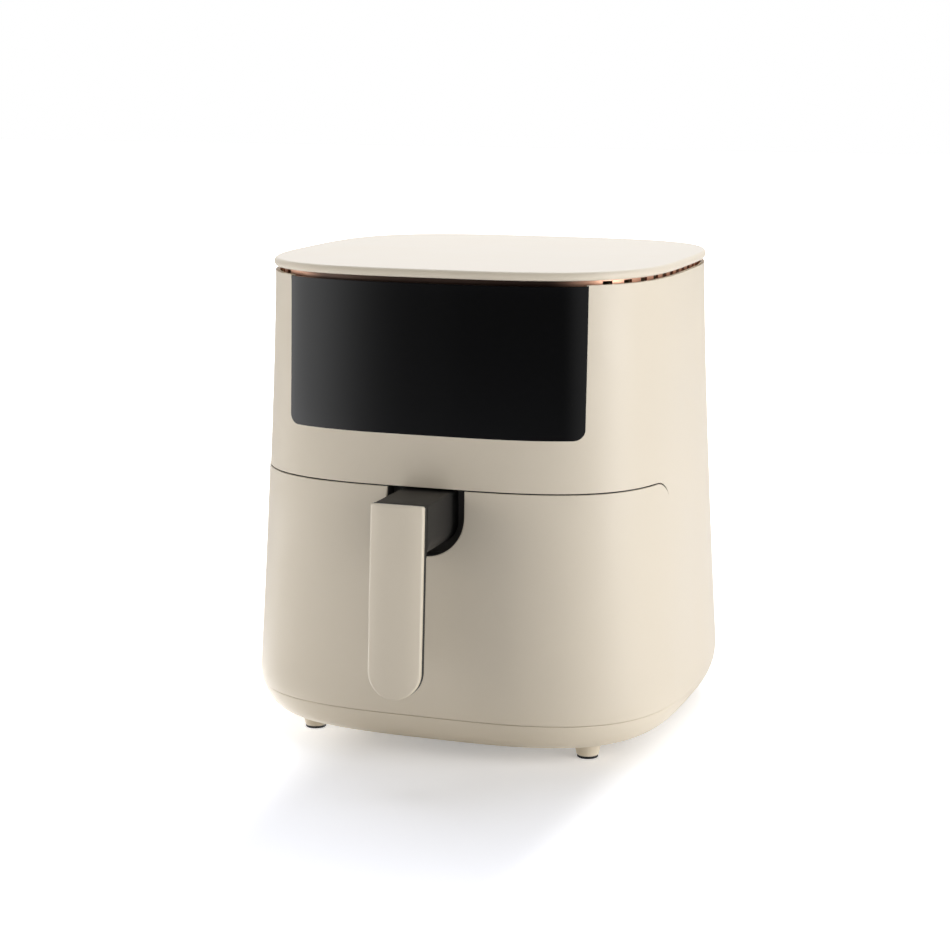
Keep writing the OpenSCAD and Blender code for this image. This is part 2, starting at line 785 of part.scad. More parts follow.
// Stamped guard under the heater: three rings on four long spokes
guard_r = [28, 52, 76];
module heater_guard() {
    z = deck_z + 0.4;
    t = 1.2;
    bar = 3;
    span_x = hood_in_w - 2 * fit_gap;
    span_y = hood_in_d - 2 * fit_gap;
    color(STEEL) in_place() translate([0, bay_y, z]) union() {
        for (r = guard_r)
            difference() {
                cylinder(r = r, h = t);
                translate([0, 0, -1]) cylinder(r = r - bar, h = t + 2);
            }
        difference() {
            union() {
                translate([-span_x / 2, -bar / 2, 0]) cube([span_x, bar, t]);
                translate([-bar / 2, -span_y / 2, 0]) cube([bar, span_y, t]);
            }
            translate([0, 0, -1]) cylinder(r = guard_r[0] - bar / 2, h = t + 2);
        }
    }
}

// Two heater loops joined by a turn, with both ends rising through the hood
heater_end_z = shield_top + 10;
function on_circle(r, t, z) = [r * cos(t), bay_y + r * sin(t), z];
module heating_element() {
    r1 = heater_r;
    r2 = heater_r - heater_pitch;
    rm = (r1 + r2) / 2;
    bend = 7;
    turn_t = 338;
    up = [end_angles[0], end_angles[1]];
    path = concat(
        [on_circle(r1, up[0], heater_end_z), on_circle(r1, up[0], heater_z + bend)],
        [on_circle(r1, up[0] + 1, heater_z + bend / 3), on_circle(r1, up[0] + 4, heater_z)],
        [for (t = [up[0] + 9:9:turn_t]) on_circle(r1, t, heater_z)],
        [
            for (a = [90:-22.5:-90])
                on_circle(rm + heater_pitch / 2 * sin(a), turn_t + heater_pitch * 28 / rm * cos(a), heater_z)
        ],
        [for (t = [turn_t - 9:-9:up[1] + 9]) on_circle(r2, t, heater_z)],
        [on_circle(r2 + 2, up[1] + 3, heater_z), on_circle(r2 + 6, up[1] + 0.5, heater_z)],
        [on_circle(r1 - bend, up[1], heater_z), on_circle(r1 - bend / 3, up[1], heater_z + bend / 3)],
        [on_circle(r1, up[1], heater_z + bend), on_circle(r1, up[1], heater_end_z)]
    );
    color(STEEL) in_place() bar_along(path, tube_r, 10);
}

// Straps from the hood's roof that pass outside the loops and hook under them
module heater_clips() {
    t = 1.2;
    w = 8;
    gap = tube_r + 0.3;
    z0 = heater_z - gap - t;
    z1 = roof_z - sheet_t;
    color(STEEL) in_place() for (a = [90, 210, 300])
        translate([0, bay_y, 0]) rotate([0, 0, a]) union() {
            translate([heater_r + gap, -w / 2, z0]) cube([t, w, z1 - z0]);
            translate([heater_r - gap, -w / 2, z0]) cube([2 * gap + t, w, t]);
        }
}

// The shield carries the motor and the power board above the hot hood
motor_leg_x = 57;
shield_front_y = touch_board_y + board_t + 13.3;
module heat_shield() {
    color(STEEL) in_place() difference() {
        plan_plate(lean(shield_top) + wall + 1.5, shield_z, sheet_t);
        translate([-FAR, -2 * FAR + shield_front_y, 0]) cube([2 * FAR, 2 * FAR, FAR]);
        translate([0, bay_y, 0]) cylinder(r = shaft_r + 3, h = FAR);
        at_heater_ends() cylinder(r = tube_r + 1, h = FAR);
    }
}

standoff_x = 66;
standoff_y = 64;
module shield_standoffs() {
    color(STEEL) in_place() for (sx = [-1, 1], sy = [-1, 1])
        translate([sx * standoff_x, bay_y + sy * standoff_y, roof_z]) cylinder(r = 4, h = shield_gap);
}

// Hub and disc with straight blades, carried on the shaft
module blower(r, h, blades, hub_r, disc_t, disc_low) {
    blade_t = 1.2;
    color(ALUMINIUM) difference() {
        union() {
            cylinder(r = hub_r, h = h);
            translate([0, 0, disc_low ? 0 : h - disc_t]) cylinder(r = r * 0.92, h = disc_t);
            for (i = [0:blades - 1])
                rotate([0, 0, 360 * i / blades]) translate([hub_r * 1.6, -blade_t / 2, 0])
                    rotate([0, 0, 8]) cube([r * 0.985 - hub_r * 1.6, blade_t, h]);
        }
        translate([0, 0, -1]) cylinder(r = shaft_r + shaft_gap, h = h + 2);
    }
}

fan_z = roof_z - sheet_t - fan_h - 8;
cool_z = shield_top + 2;
nut_h = 5;
module on_fan_axis(z) {
    in_place() translate([0, bay_y, z]) children();
}

module convection_fan() {
    on_fan_axis(fan_z) blower(fan_r, fan_h, 10, 9, 1.2, false);
}

module cooling_fan() {
    on_fan_axis(cool_z) blower(cool_r, cool_h, 9, 9, 1, true);
}

module fan_nut() {
    color(BRASS) on_fan_axis(fan_z - nut_h) difference() {
        cylinder(r = 7, h = nut_h, $fn = 6);
        translate([0, 0, -1]) cylinder(r = shaft_r + shaft_gap, h = nut_h + 2);
    }
}

// Motor stack: bracket over the cooling fan, stator, top bar, and a bush in each plate
bracket_t = 2;
bracket_z = cool_z + cool_h + 5;
stator_z = bracket_z + bracket_t;
bar_z = stator_z + stack_h;
bar_t = 2;
bush_r = 6.5;
shaft_top = bar_z + bar_t + 6;
motor_screw_x = 25;
motor_screw_r = 1.9;
module motor_shaft() {
    shaft_z = fan_z - nut_h - 3;
    color(STEEL) on_fan_axis(shaft_z) cylinder(r = shaft_r, h = shaft_top - shaft_z);
}

module motor_rotor() {
    color(ALUMINIUM) on_fan_axis(stator_z + 3) difference() {
        cylinder(r = rotor_r, h = stack_h - 5);
        translate([0, 0, -1]) cylinder(r = shaft_r + shaft_gap, h = stack_h);
    }
}

module at_motor_screws() {
    for (sx = [-1, 1]) translate([sx * motor_screw_x, 0, 0]) children();
}

stator_w = 64;
stator_front = 26;
yoke_y = 36;
yoke_d = 10;
coil_w = 32;
module motor_stator() {
    color(STEEL) on_fan_axis(stator_z) difference() {
        translate([-stator_w / 2, -stator_front, 0])
            cube([stator_w, stator_front + yoke_y + yoke_d, stack_h]);
        translate([0, 0, -1]) cylinder(r = rotor_r + air_gap, h = stack_h + 2);
        translate([-coil_w / 2 - 3, 21, -1]) cube([coil_w + 6, yoke_y - 21, stack_h + 2]);
        at_motor_screws() translate([0, 0, -1]) cylinder(r = motor_screw_r + 0.2, h = stack_h + 2);
    }
}

module motor_coil() {
    turn = 6;
    front = yoke_y - turn - 3;
    color(WINDING) on_fan_axis(stator_z) difference() {
        translate([-coil_w / 2, front, -turn])
            cube([coil_w, yoke_y + yoke_d + turn - front, stack_h + 2 * turn]);
        translate([-coil_w, yoke_y - fit_gap, -fit_gap])
            cube([2 * coil_w, yoke_d + 2 * fit_gap, stack_h + 2 * fit_gap]);
    }
}

module bush(z, h) {
    color(BRASS) on_fan_axis(z) difference() {
        cylinder(r = bush_r, h = h);
        translate([0, 0, -1]) cylinder(r = shaft_r + shaft_gap, h = h + 2);
    }
}

module bearing_lower() {
    bush(bracket_z - 1, bracket_t + 2);
}

module bearing_upper() {
    bush(bar_z - 1, bar_t + 4);
}

module motor_bracket() {
    depth = 32;
    leg_t = 1.5;
    leg_h = bracket_z + bracket_t - shield_top;
    foot = 10;
    color(STEEL) on_fan_axis(shield_top) difference() {
        union() {
            translate([-motor_leg_x, -depth / 2, leg_h - bracket_t])
                cube([2 * motor_leg_x, depth, bracket_t]);
            for (side = [0, 1])
                mirror([side, 0, 0]) translate([motor_leg_x - leg_t, -depth / 2, 0]) {
                    cube([leg_t, depth, leg_h]);
                    cube([foot, depth, leg_t]);
                }
        }
        cylinder(r = bush_r + 0.05, h = FAR);
        at_motor_screws() cylinder(r = motor_screw_r + 0.2, h = FAR);
    }
}

module motor_top_bar() {
    color(STEEL) on_fan_axis(bar_z) difference() {
        translate([-stator_w / 2, -10, 0]) cube([stator_w, 20, bar_t]);
        translate([0, 0, -1]) cylinder(r = bush_r + 0.05, h = bar_t + 2);
        at_motor_screws() translate([0, 0, -1]) cylinder(r = motor_screw_r + 0.2, h = bar_t + 2);
    }
}

module motor_screws() {
    z0 = bracket_z - 2;
    z1 = bar_z + bar_t;
    color(STEEL) on_fan_axis(0) at_motor_screws() union() {
        translate([0, 0, z0]) cylinder(r = motor_screw_r, h = z1 - z0 + 0.5);
        translate([0, 0, z1]) cylinder(r = 3.6, h = 2.6);
    }
}

// Duct from the hood's back wall to the grille
module exhaust_duct() {
    t = 1.2;
    y0 = bay_y + hood_d / 2 + fit_gap;
    y1 = skin_y(duct_z + duct_h, duct_w / 2 + t) - wall - fit_gap;
    color(STEEL) in_place() difference() {
        translate([-duct_w / 2 - t, y0, duct_z - t]) cube([duct_w + 2 * t, y1 - y0, duct_h + 2 * t]);
        translate([-duct_w / 2, y0 - 1, duct_z]) cube([duct_w, y1 - y0 + 2, duct_h]);
    }
}

module rear_grille() {
    proud = 0.6;
    rows = 9;
    margin = 7;
    slot_h = 3.6;
    pitch = (grille_z1 - grille_z0 - 2 * margin - slot_h) / (rows - 1);
    slot_w = grille_w / 2 - margin - 2;
    color(CREAM) in_place() difference() {
        intersection() {
            skin_band(grille_z0 - 1, grille_z1 + 1, -proud, wall + proud, 4);
            grille_zone(0);
        }
        for (i = [0:rows - 1], x = [-slot_w - 2, 2])
            translate([x, body_d / 4, grille_z0 + margin + i * pitch]) cube([slot_w, FAR, slot_h]);
    }
}

// Power board on a tray beside the motor
power_x = 52 - body_w / 2;
power_w = 44;
power_l = 104;
tray_post_h = 6;
tray_t = 1.5;
tray_z = shield_top + tray_post_h;
power_z = tray_z + tray_t;
part_z = power_z + board_t;
module at_power_board(z) {
    in_place() translate([power_x, bay_y, z]) children();
}

module board_bracket() {
    color(NYLON) at_power_board(shield_top) union() {
        translate([-power_w / 2, -power_l / 2, tray_post_h]) cube([power_w, power_l, tray_t]);
        for (sx = [-1, 1], sy = [-1, 1])
            translate([sx * (power_w / 2 - 5), sy * (power_l / 2 - 5), 0])
                cylinder(r = 3.5, h = tray_post_h + EPS);
    }
}

module power_board() {
    color(BOARD_GREEN) at_power_board(power_z)
        translate([-power_w / 2, -power_l / 2, 0]) cube([power_w, power_l, board_t]);
}

module board_relay() {
    color(CHARCOAL) at_power_board(part_z) union() {
        translate([-16, 18, 0]) cube([20, 28, 16]);
        translate([-14, -10, 0]) cube([28, 20, 14]);
    }
}

module board_capacitor() {
    color(CHARCOAL) at_power_board(part_z) union() {
        translate([-8, -36, 0]) cylinder(r = 8, h = 18);
        translate([12, -30, 0]) cylinder(r = 5, h = 14);
    }
}

// Probe through the hood's right wall, and a cut-out button on its roof
module temperature_sensor() {
    x0 = hood_w / 2;
    color(STEEL) in_place() translate([x0, probe_y, probe_z]) rotate([0, 90, 0]) union() {
        translate([0, 0, -12]) cylinder(r = probe_r, h = 20);
        cylinder(r = 6, h = 2);
    }
}

module thermal_cutout() {
    color(NYLON) on_fan_axis(roof_z) translate([-40, -50, 0]) cylinder(r = 8, h = shield_gap - 0.5);
}

// Switch behind the bay's back wall, pressed by the closed pan through its plunger
switch_d = 14;
switch_room_r = 4;
plunger_travel = 0.8;
function pan_back_y(z) = bay_y + pan_d / 2 - pan_draft * (1 - (z - pan_z) / pan_h);
module drawer_switch() {
    y0 = liner_back_y;
    color(CHARCOAL) in_place() difference() {
        translate([plunger_x - 8, y0, plunger_z - 12]) cube([16, switch_d, 24]);
        y_bar(plunger_x, plunger_z, plunger_r + running_gap, y0 - 1, y0 + 5);
        y_bar(plunger_x, plunger_z, switch_room_r, y0 + 2, y0 + switch_d - 2);
    }
}

module switch_plunger() {
    tip_y = pan_back_y(plunger_z + plunger_r) + running_gap;
    collar_y = liner_back_y + 2 + running_gap;
    color(NYLON) in_place() union() {
        y_bar(plunger_x, plunger_z, plunger_r, tip_y, collar_y + 1);
        y_bar(plunger_x, plunger_z, switch_room_r - 0.5, collar_y, collar_y + 4);
    }
}

// Bushing for the mains cord in the back of the body, and a clamp behind it
gland_r = 6.5;
module cord_gland() {
    skin = skin_y(cord_z, cord_x);
    color(CHARCOAL) in_place() difference() {
        union() {
            y_bar(cord_x, cord_z, gland_r, skin - wall - 5, gland_y);
            y_bar(cord_x, cord_z, gland_r + 2.5, skin + 0.9, gland_y - 0.8);
            y_bar(cord_x, cord_z, gland_r + 1.5, skin - wall - 5, skin - wall - 1.2);
        }
        y_bar(cord_x, cord_z, cord_r, body_d / 4, FAR);
    }
}

clamp_y = liner_back_y + 5;
clamp_d = 10;
clamp_w = 28;
clamp_screw_x = 10;
module at_clamp_screws() {
    for (sx = [-1, 1]) translate([cord_x + sx * clamp_screw_x, clamp_y + clamp_d / 2, 0]) children();
}

module cord_clamp() {
    strap_h = 8;
    split = 0.2;
    x0 = cord_x - clamp_w / 2;
    color(NYLON) in_place() difference() {
        union() {
            translate([x0, clamp_y, bay_z]) cube([clamp_w, clamp_d, cord_z - split - bay_z]);
            translate([x0, clamp_y, cord_z + split]) cube([clamp_w, clamp_d, strap_h]);
        }
        y_bar(cord_x, cord_z, cord_r, clamp_y - 1, clamp_y + clamp_d + 1);
        at_clamp_screws() translate([0, 0, cord_z - 15]) cylinder(r = 1.7, h = FAR);
    }
}

module clamp_screws() {
    top = cord_z + 8.2;
    color(STEEL) in_place() at_clamp_screws() union() {
        translate([0, 0, top]) cylinder(r = 3, h = 2);
        translate([0, 0, cord_z - 13]) cylinder(r = 1.5, h = top + 0.5 - cord_z + 13);
    }
}

module terminal_block() {
    color(NYLON) in_place() difference() {
        translate([-46, liner_back_y, 66]) cube([36, 12, 18]);
        for (i = [0:2]) translate([-40 + 12 * i, liner_back_y + 6, 60]) cylinder(r = 2, h = 30);
    }
}

// Insulated leads from the heater's ends to the power board, behind the motor
module heater_leads() {
    r = 1.6;
    color(NYLON) in_place() for (i = [0, 1]) {
        t = end_angles[i];
        a = on_circle(heater_r, t, heater_end_z + 0.7);
        end = [power_x + 12 + 6 * i, bay_y + 46 - 8 * i, part_z + 0.7];
        top = [0, bay_y + 66 + 8 * i, stator_z + 2 + 4 * i];
        up = [0, 0, 24];
        bar_along(concat(
            curve(a, a + up, top + [50, -4, 0], top, 10),
            [for (p = curve(top, top - [46, -4, 0], end + 1.2 * up, end, 12)) if (p.x < -1) p]
        ), r, 8);
    }
}

// Flat lead from the touch board to the power board
module panel_cable() {
    board = [-40, touch_board_y + board_t + 0.6, touch_board_z - 4];
    power = [power_x + 12, bay_y - power_l / 2 + 10, part_z + 0.7];
    color(WINDING) in_place()
        bar_along(curve(board, board + [0, 14, 4], power + [0, 0, 36], power, 14), 1.3, 8);
}

// Drawer: outer front, inner plate, pocket and handle. The notch for the hand ends in a half round
module notch_zone(grow, y0, y1) {
    outline = tab_outline(pocket_w + 2 * grow, pocket_h + grow, pocket_w / 2 + grow - EPS);
    translate([0, 0, drawer_top_z]) upright_plate(y0, y1 - y0, outline);
}

module drawer_front() {
    color(CREAM) in_place() difference() {
        intersection() {
            skin_band(front_z0, drawer_top_z + 2, -front_proud, wall, 7);
            drawer_zone(-1);
        }
        notch_zone(0, -FAR, -body_d / 4);
        translate([-pocket_w / 2, -FAR, drawer_top_z - 1]) cube([pocket_w, FAR, FAR]);
    }
}

module at_handle_screws(y0, y1, r) {
    for (sx = [-1, 1]) y_bar(sx * screw_x, screw_z, r, y0, y1);
}

module front_inner() {
    z0 = bay_z + 1.5;
    off = wall - front_proud + 2 * fit_gap;
    zs = [for (i = [0:6]) z0 + (front_z1 - z0) * i / 6];
    color(LINER_GREY) in_place() difference() {
        union() {
            upright_plate(inner_y, inner_t, concat(
                [for (z = zs) [half_x(inner_y, z, off), z]],
                [for (i = [6:-1:0]) [-half_x(inner_y, zs[i], off), zs[i]]]
            ));
            front_shelf(off);
        }
        at_handle_screws(inner_y - 1, inner_back + 1, screw_r + 0.3);
    }
}

// Shelf along the top, just over the pan's rim, that closes the space behind the outer front
module front_shelf(off) {
    z0 = pan_z + pan_h + fit_gap;
    y1 = side_seam_y - side_seam_r - shelf_end;
    liner_x = bay_w / 2 + liner_t + running_gap;
    difference() {
        plan_plate(lean(front_z1) + off, z0, shelf_t);
        plan_plate(lean(front_z1) + off + shelf_w, z0 - 1, shelf_t + 2);
        translate([-FAR / 2, y1, 0]) cube(FAR);
        translate([-liner_x, liner_front_y - running_gap, 0]) cube([2 * liner_x, FAR, FAR]);
        notch_zone(pocket_t + fit_gap, -body_d / 2, inner_y + EPS);
    }
}

// The pocket lines the notch from the skin back to the inner plate
pocket_back = inner_y - pocket_t;
module handle_pocket() {
    lining = 0.2;
    skin_gap = wall - front_proud + 2 * fit_gap;
    z0 = drawer_top_z - pocket_h - pocket_t - 1;
    function front_y(z) = skin_gap - skin_y(z, pocket_w / 2);
    color(CHARCOAL) in_place() difference() {
        notch_zone(pocket_t, -body_d / 2, inner_y);
        notch_zone(lining, -body_d, pocket_back);
        side_plate(-FAR, FAR, [
            [-FAR, z0],
            [front_y(z0), z0],
            [front_y(drawer_top_z), drawer_top_z],
            [-FAR, FAR]
        ]);
        translate([-FAR / 2, -FAR / 2, front_z1]) cube(FAR);
        at_handle_screws(-body_d / 2, inner_y + 1, screw_r + 0.3);
    }
}

// Arm and back of the grip in one piece: the level arm swells downwards in a hollow curve to meet the back
module handle_core() {
    back_y = cover_t - grip_reach;
    root_y = -inner_y;
    curve_y = back_y + back_t + arm_fillet;
    function level(y) = (y - back_y - back_t) * tan(handle_tilt);
    function arm_ring(y, s) = [
        for (p = tab_outline(grip_w, arm_h + arm_fillet * s, arm_r + (grip_w / 2 - arm_r) * s))
            [p.x, y, p.y + level(y)]
    ];
    color(CHARCOAL) in_place() difference() {
        in_handle_frame() union() {
            upright_plate(back_y, back_t, tab_outline(grip_w, grip_l, grip_w / 2 - EPS));
            loft(concat(
                [arm_ring(root_y, 0)],
                [for (a = [0:15:90]) arm_ring(curve_y - arm_fillet * sin(a), 1 - cos(a))],
                [arm_ring(back_y + 1, 1)]
            ));
        }
        translate([-FAR, pocket_back, 0]) cube(FAR * 2);
        at_handle_screws(pocket_back - 15, 0, screw_r + 0.1);
    }
}

module handle_cover() {
    e = grip_edge;
    face_y = -grip_reach;
    color(CREAM) in_place() in_handle_frame() hull() {
        upright_plate(face_y + e, cover_t - e - EPS, tab_outline(grip_w, grip_l, grip_w / 2 - EPS));
        translate([0, 0, -e])
            upright_plate(face_y, e, tab_outline(grip_w - 2 * e, grip_l - 2 * e, grip_w / 2 - e - EPS));
    }
}

module handle_screws() {
    color(STEEL) in_place() union() {
        at_handle_screws(inner_back, inner_back + 2.2, 3.6);
        at_handle_screws(pocket_back - 13, inner_back + 0.5, screw_r);
    }
}

// Pan: outside up, over the turned-out rim, and down the inside
function pan_ring(k, h) = [
    for (p = round_rect(pan_w - 2 * k, pan_d - 2 * k, pan_r - k)) [p.x, p.y + bay_y, pan_z + h]
];
function pan_inset(h) = pan_draft * (1 - h / pan_h);
module pan() {
    rim_t = 1.5;
    ro = pan_floor_r;
    ri = pan_floor_r - pan_t;
    color(COATING) in_place() loft(concat(
        [for (a = [0:30:90]) let (h = ro * (1 - cos(a))) pan_ring(pan_inset(h) + ro * (1 - sin(a)), h)],
        [pan_ring(pan_inset(pan_h - rim_t), pan_h - rim_t)],
        [pan_ring(-pan_rim, pan_h - rim_t), pan_ring(-pan_rim, pan_h), pan_ring(pan_t, pan_h)],
        [
            for (a = [90:-30:0])
                let (h = pan_t + ri * (1 - cos(a))) pan_ring(pan_inset(h) + pan_t + ri * (1 - sin(a)), h)
        ]
    ));
}

// Bracket between the inner plate and the pan's front wall
module pan_bracket() {
    z0 = pan_z + 40;
    z1 = screw_z - 8;
    function wall_y(z) = bay_y - pan_d / 2 + pan_inset(z - pan_z) - fit_gap;
    color(STEEL) in_place()
        side_plate(-34, 34, [[inner_back, z0], [wall_y(z0), z0], [wall_y(z1), z1], [inner_back, z1]]);
}

// Crisper plate: holes on a square pitch, kept off the edge and the feet
plate_h = pan_t + plate_lift;
plate_k = pan_inset(plate_h) + pan_t + plate_gap;
plate_w = pan_w - 2 * plate_k;
plate_d = pan_d - 2 * plate_k;
plate_r = pan_r - plate_k;
peg_x = plate_w / 2 - 26;
peg_y = plate_d / 2 - 24;
peg_r = 4;
plate_z = pan_z + plate_h;
module at_pegs() {
    for (sx = [-1, 1], sy = [-1, 1]) translate([sx * peg_x, bay_y + sy * peg_y, 0]) children();
}

module crisper_plate() {
    margin = plate_hole_r + 8;
    nx = floor((plate_w / 2 - margin) / plate_pitch);
    ny = floor((plate_d / 2 - margin) / plate_pitch);
    clear = peg_r + 3.5 + plate_hole_r + 1;
    color(COATING) in_place() difference() {
        bay_box(plate_w, plate_d, plate_r, plate_z, plate_t);
        for (i = [-nx:nx], j = [-ny:ny])
            let (x = i * plate_pitch, y = j * plate_pitch)
                if (in_round_rect(x, y, plate_w - 2 * margin, plate_d - 2 * margin, plate_r - margin / 2)
                    && norm([abs(x) - peg_x, abs(y) - peg_y]) > clear)
                    translate([x, y + bay_y, plate_z - 1]) cylinder(r = plate_hole_r, h = plate_t + 2);
        at_pegs() translate([0, 0, plate_z - 1]) cylinder(r = peg_r + 0.05, h = plate_t + 2);
    }
}

// Silicone feet through the plate, with a head above it
module plate_bumpers() {
    head_h = 2;
    color(SILICONE) in_place() at_pegs() union() {
        translate([0, 0, pan_z + pan_t + running_gap]) cylinder(r = peg_r + 3, h = plate_lift - running_gap);
        translate([0, 0, plate_z - 1]) cylinder(r = peg_r, h = plate_t + 2);
        translate([0, 0, plate_z + plate_t]) cylinder(r = peg_r + 2.5, h = head_h);
    }
}

body_shell();
top_cover();
vent_ring();
touch_panel();
panel_carrier();
touch_board();
display_module();
touch_board_screws();
base_shell();
feet();
foot_pads();
base_screws();
cavity_liner();
bay_frame();
detent_springs();
chamber_hood();
heater_guard();
heating_element();
heater_clips();
heat_shield();
shield_standoffs();
convection_fan();
cooling_fan();
motor_shaft();
fan_nut();
motor_rotor();
motor_stator();
motor_coil();
bearing_lower();
bearing_upper();
motor_bracket();
motor_top_bar();
motor_screws();
exhaust_duct();
rear_grille();
power_board();
board_bracket();
board_relay();
board_capacitor();
temperature_sensor();
thermal_cutout();
drawer_switch();
switch_plunger();
cord_gland();
cord_clamp();
clamp_screws();
terminal_block();
heater_leads();
panel_cable();
drawer_front();
front_inner();
handle_pocket();
handle_core();
handle_cover();
handle_screws();
pan();
pan_bracket();
crisper_plate();
plate_bumpers();
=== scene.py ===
import json
import math

import bpy
import numpy as np
from mathutils import Matrix, Vector
from mathutils.geometry import delaunay_2d_cdt


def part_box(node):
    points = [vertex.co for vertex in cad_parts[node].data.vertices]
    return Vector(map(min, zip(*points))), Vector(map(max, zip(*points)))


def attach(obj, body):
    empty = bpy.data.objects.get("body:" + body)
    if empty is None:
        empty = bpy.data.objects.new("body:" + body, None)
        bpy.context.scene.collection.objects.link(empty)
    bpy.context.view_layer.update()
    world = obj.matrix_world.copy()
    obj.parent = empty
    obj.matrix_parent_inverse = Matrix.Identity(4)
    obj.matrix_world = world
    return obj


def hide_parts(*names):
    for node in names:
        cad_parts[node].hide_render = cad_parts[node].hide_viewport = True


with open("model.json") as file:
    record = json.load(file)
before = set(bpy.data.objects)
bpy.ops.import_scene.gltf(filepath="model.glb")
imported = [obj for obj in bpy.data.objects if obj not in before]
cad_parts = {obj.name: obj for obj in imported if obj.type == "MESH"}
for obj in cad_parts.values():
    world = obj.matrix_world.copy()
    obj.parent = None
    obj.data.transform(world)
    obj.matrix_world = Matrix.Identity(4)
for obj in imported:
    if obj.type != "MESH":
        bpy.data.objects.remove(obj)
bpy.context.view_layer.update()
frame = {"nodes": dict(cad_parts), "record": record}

# ---------------------------------------------------------------- sizes in mm, about the middle of the body
MM = 0.001
low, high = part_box("base_shell")
SHIFT = (low.y + high.y) / 2 / MM
# Housing: its plan is a superellipse, and its heights count from the ground
WIDTH, DEPTH, SQUARE = 296.0, 281.0, 3.35
SHOULDER, UNDER, RIM, LID, TOP = 40.0, 11.5, 310.9, 314.3, 320.0
TOP_INSET, BASE_INSET = 12.6, 17.5
WALL, PROUD, GAP = 2.5, 0.5, 0.25
# Joint at the side, and heights of the seams over and under the drawer
SIDE_JOINT, SIDE_SEAM, SIDE_R = -51.0, 0.8, 19.0
BODY_FOOT, FRONT_TOP, DRAWER_TOP = 181.7, 180.3, 181.0
COVERS_FOOT, BASE_TOP = 31.1, 30.6
PANEL_W, PANEL_H, PANEL_R = 202.0, 96.8, 7.0
# Rounding of the housing's edges, and the spacing of its mesh
PLATE_EDGE, PLATE_STEP = 0.6, 6.0
BAY_Y = -4.0
# Pocket and handle
INNER_Y = -118.5
POCKET_BACK = -120.3
POCKET_W, POCKET_H, POCKET_R = 53.0, 44.3, 26.49
GRIP_W, GRIP_L, REACH, COVER, SLAB = 35.6, 122.5, 51.5, 5.0, 4.5
ARM_H, ARM_R, ARM_FILLET = 36.0, 15.0, 12.0
HANDLE_Y, HANDLE_Z, HANDLE_TILT = -133.525, 179.0, math.radians(4.14827)
GRIP_Z = HANDLE_Z - (REACH - COVER - SLAB) * math.sin(HANDLE_TILT)
CROWN = 3.0
# By this much a piece stays clear of a face that would lie in the same place
HAIR = 0.02
# Back: grille and mains inlet
GRILLE_W, GRILLE_H, GRILLE_R, GRILLE_Z, GRILLE_PROUD = 92.0, 72.0, 5.0, 226.0, 0.6
INLET_X, INLET_Z, INLET_R = 45.0, 62.0, 6.75
# Underside: feet and screws
FEET_X, FEET_Y, SCREWS_X, SCREWS_Y = 97, 91, 70, 78
# Inside the drawer: crisper plate with its bumpers, and pan
PLATE_W, PLATE_D, PLATE_R, PLATE_Z, PLATE_T = 206.749, 192.749, 32.374, 54.0, 2.0
BUMPER_X, BUMPER_Y = 77.374, 72.374
PAN_Z, PAN_H = 37.4, 140.0
UP = np.array([0.0, 0.0, 1.0])
CORNERS = [(sx, sy) for sx in (-1, 1) for sy in (-1, 1)]
# Level of the light that comes from everywhere
AMBIENT = 0.135

# ---------------------------------------------------------------- camera
camera_data = bpy.data.cameras.new("camera")
camera = bpy.data.objects.new("camera", camera_data)
bpy.context.scene.collection.objects.link(camera)
bpy.context.scene.camera = camera
bpy.context.scene.view_settings.view_transform = "Standard"
azimuth, elevation, distance = math.radians(19.6), math.radians(11.16), 1.515
aim = Vector((-0.013 * math.cos(azimuth), -0.013 * math.sin(azimuth) + SHIFT * MM, 0.1646))
back = Vector((
    math.sin(azimuth) * math.cos(elevation),
    -math.cos(azimuth) * math.cos(elevation),
    math.sin(elevation),
))
camera.location = aim + back * distance
camera.rotation_euler = back.to_track_quat("Z", "Y").to_euler()
camera_data.sensor_width = 36
camera_data.lens = 2180 * 36 / 950


# ---------------------------------------------------------------- outlines and surfaces
def lean(z):
    """How far the housing has leaned in at height z."""
    z = np.asarray(z, float)
    up = np.clip(1 - (z - SHOULDER) / (RIM - SHOULDER), 0, 1)
    down = np.clip((SHOULDER - z) / (SHOULDER - UNDER), 0, 1)
    return np.where(
        z >= SHOULDER,
        TOP_INSET * (1 - up**1.25),
        BASE_INSET * (1 - np.sqrt(1 - down * down)),
    )


def squircle(t, inset):
    """The housing's plan in the directions t, moved in by the inset."""
    a, b = WIDTH / 2 - inset, DEPTH / 2 - inset
    r = (np.abs(np.cos(t) / a) ** SQUARE + np.abs(np.sin(t) / b) ** SQUARE) ** (-1 / SQUARE)
    return r * np.cos(t), r * np.sin(t)


def depth_at(x, z, inset=0.0):
    """Half-depth of the housing at x and z."""
    a, b = WIDTH / 2 - lean(z) - inset, DEPTH / 2 - lean(z) - inset
    return b * (1 - np.abs(x / a) ** SQUARE) ** (1 / SQUARE)


def width_at(y, z, inset=0.0):
    """Half-width of the housing at y and z."""
    a, b = WIDTH / 2 - lean(z) - inset, DEPTH / 2 - lean(z) - inset
    return a * (1 - np.abs(y / b) ** SQUARE) ** (1 / SQUARE)


def plan(n=240):
    """The housing's outline in plan, as a function of how far out it is moved."""
    t = np.arange(n) * 2 * np.pi / n

    def at(out):
        x, y = squircle(t, -out)
        a, b = WIDTH / 2 + out, DEPTH / 2 + out
        nx = np.sign(x) * np.abs(x / a) ** (SQUARE - 1) / a
        ny = np.sign(y) * np.abs(y / b) ** (SQUARE - 1) / b
        k = np.hypot(nx, ny)
        return np.stack([x, y], -1), np.stack([nx / k, ny / k], -1)

    return at


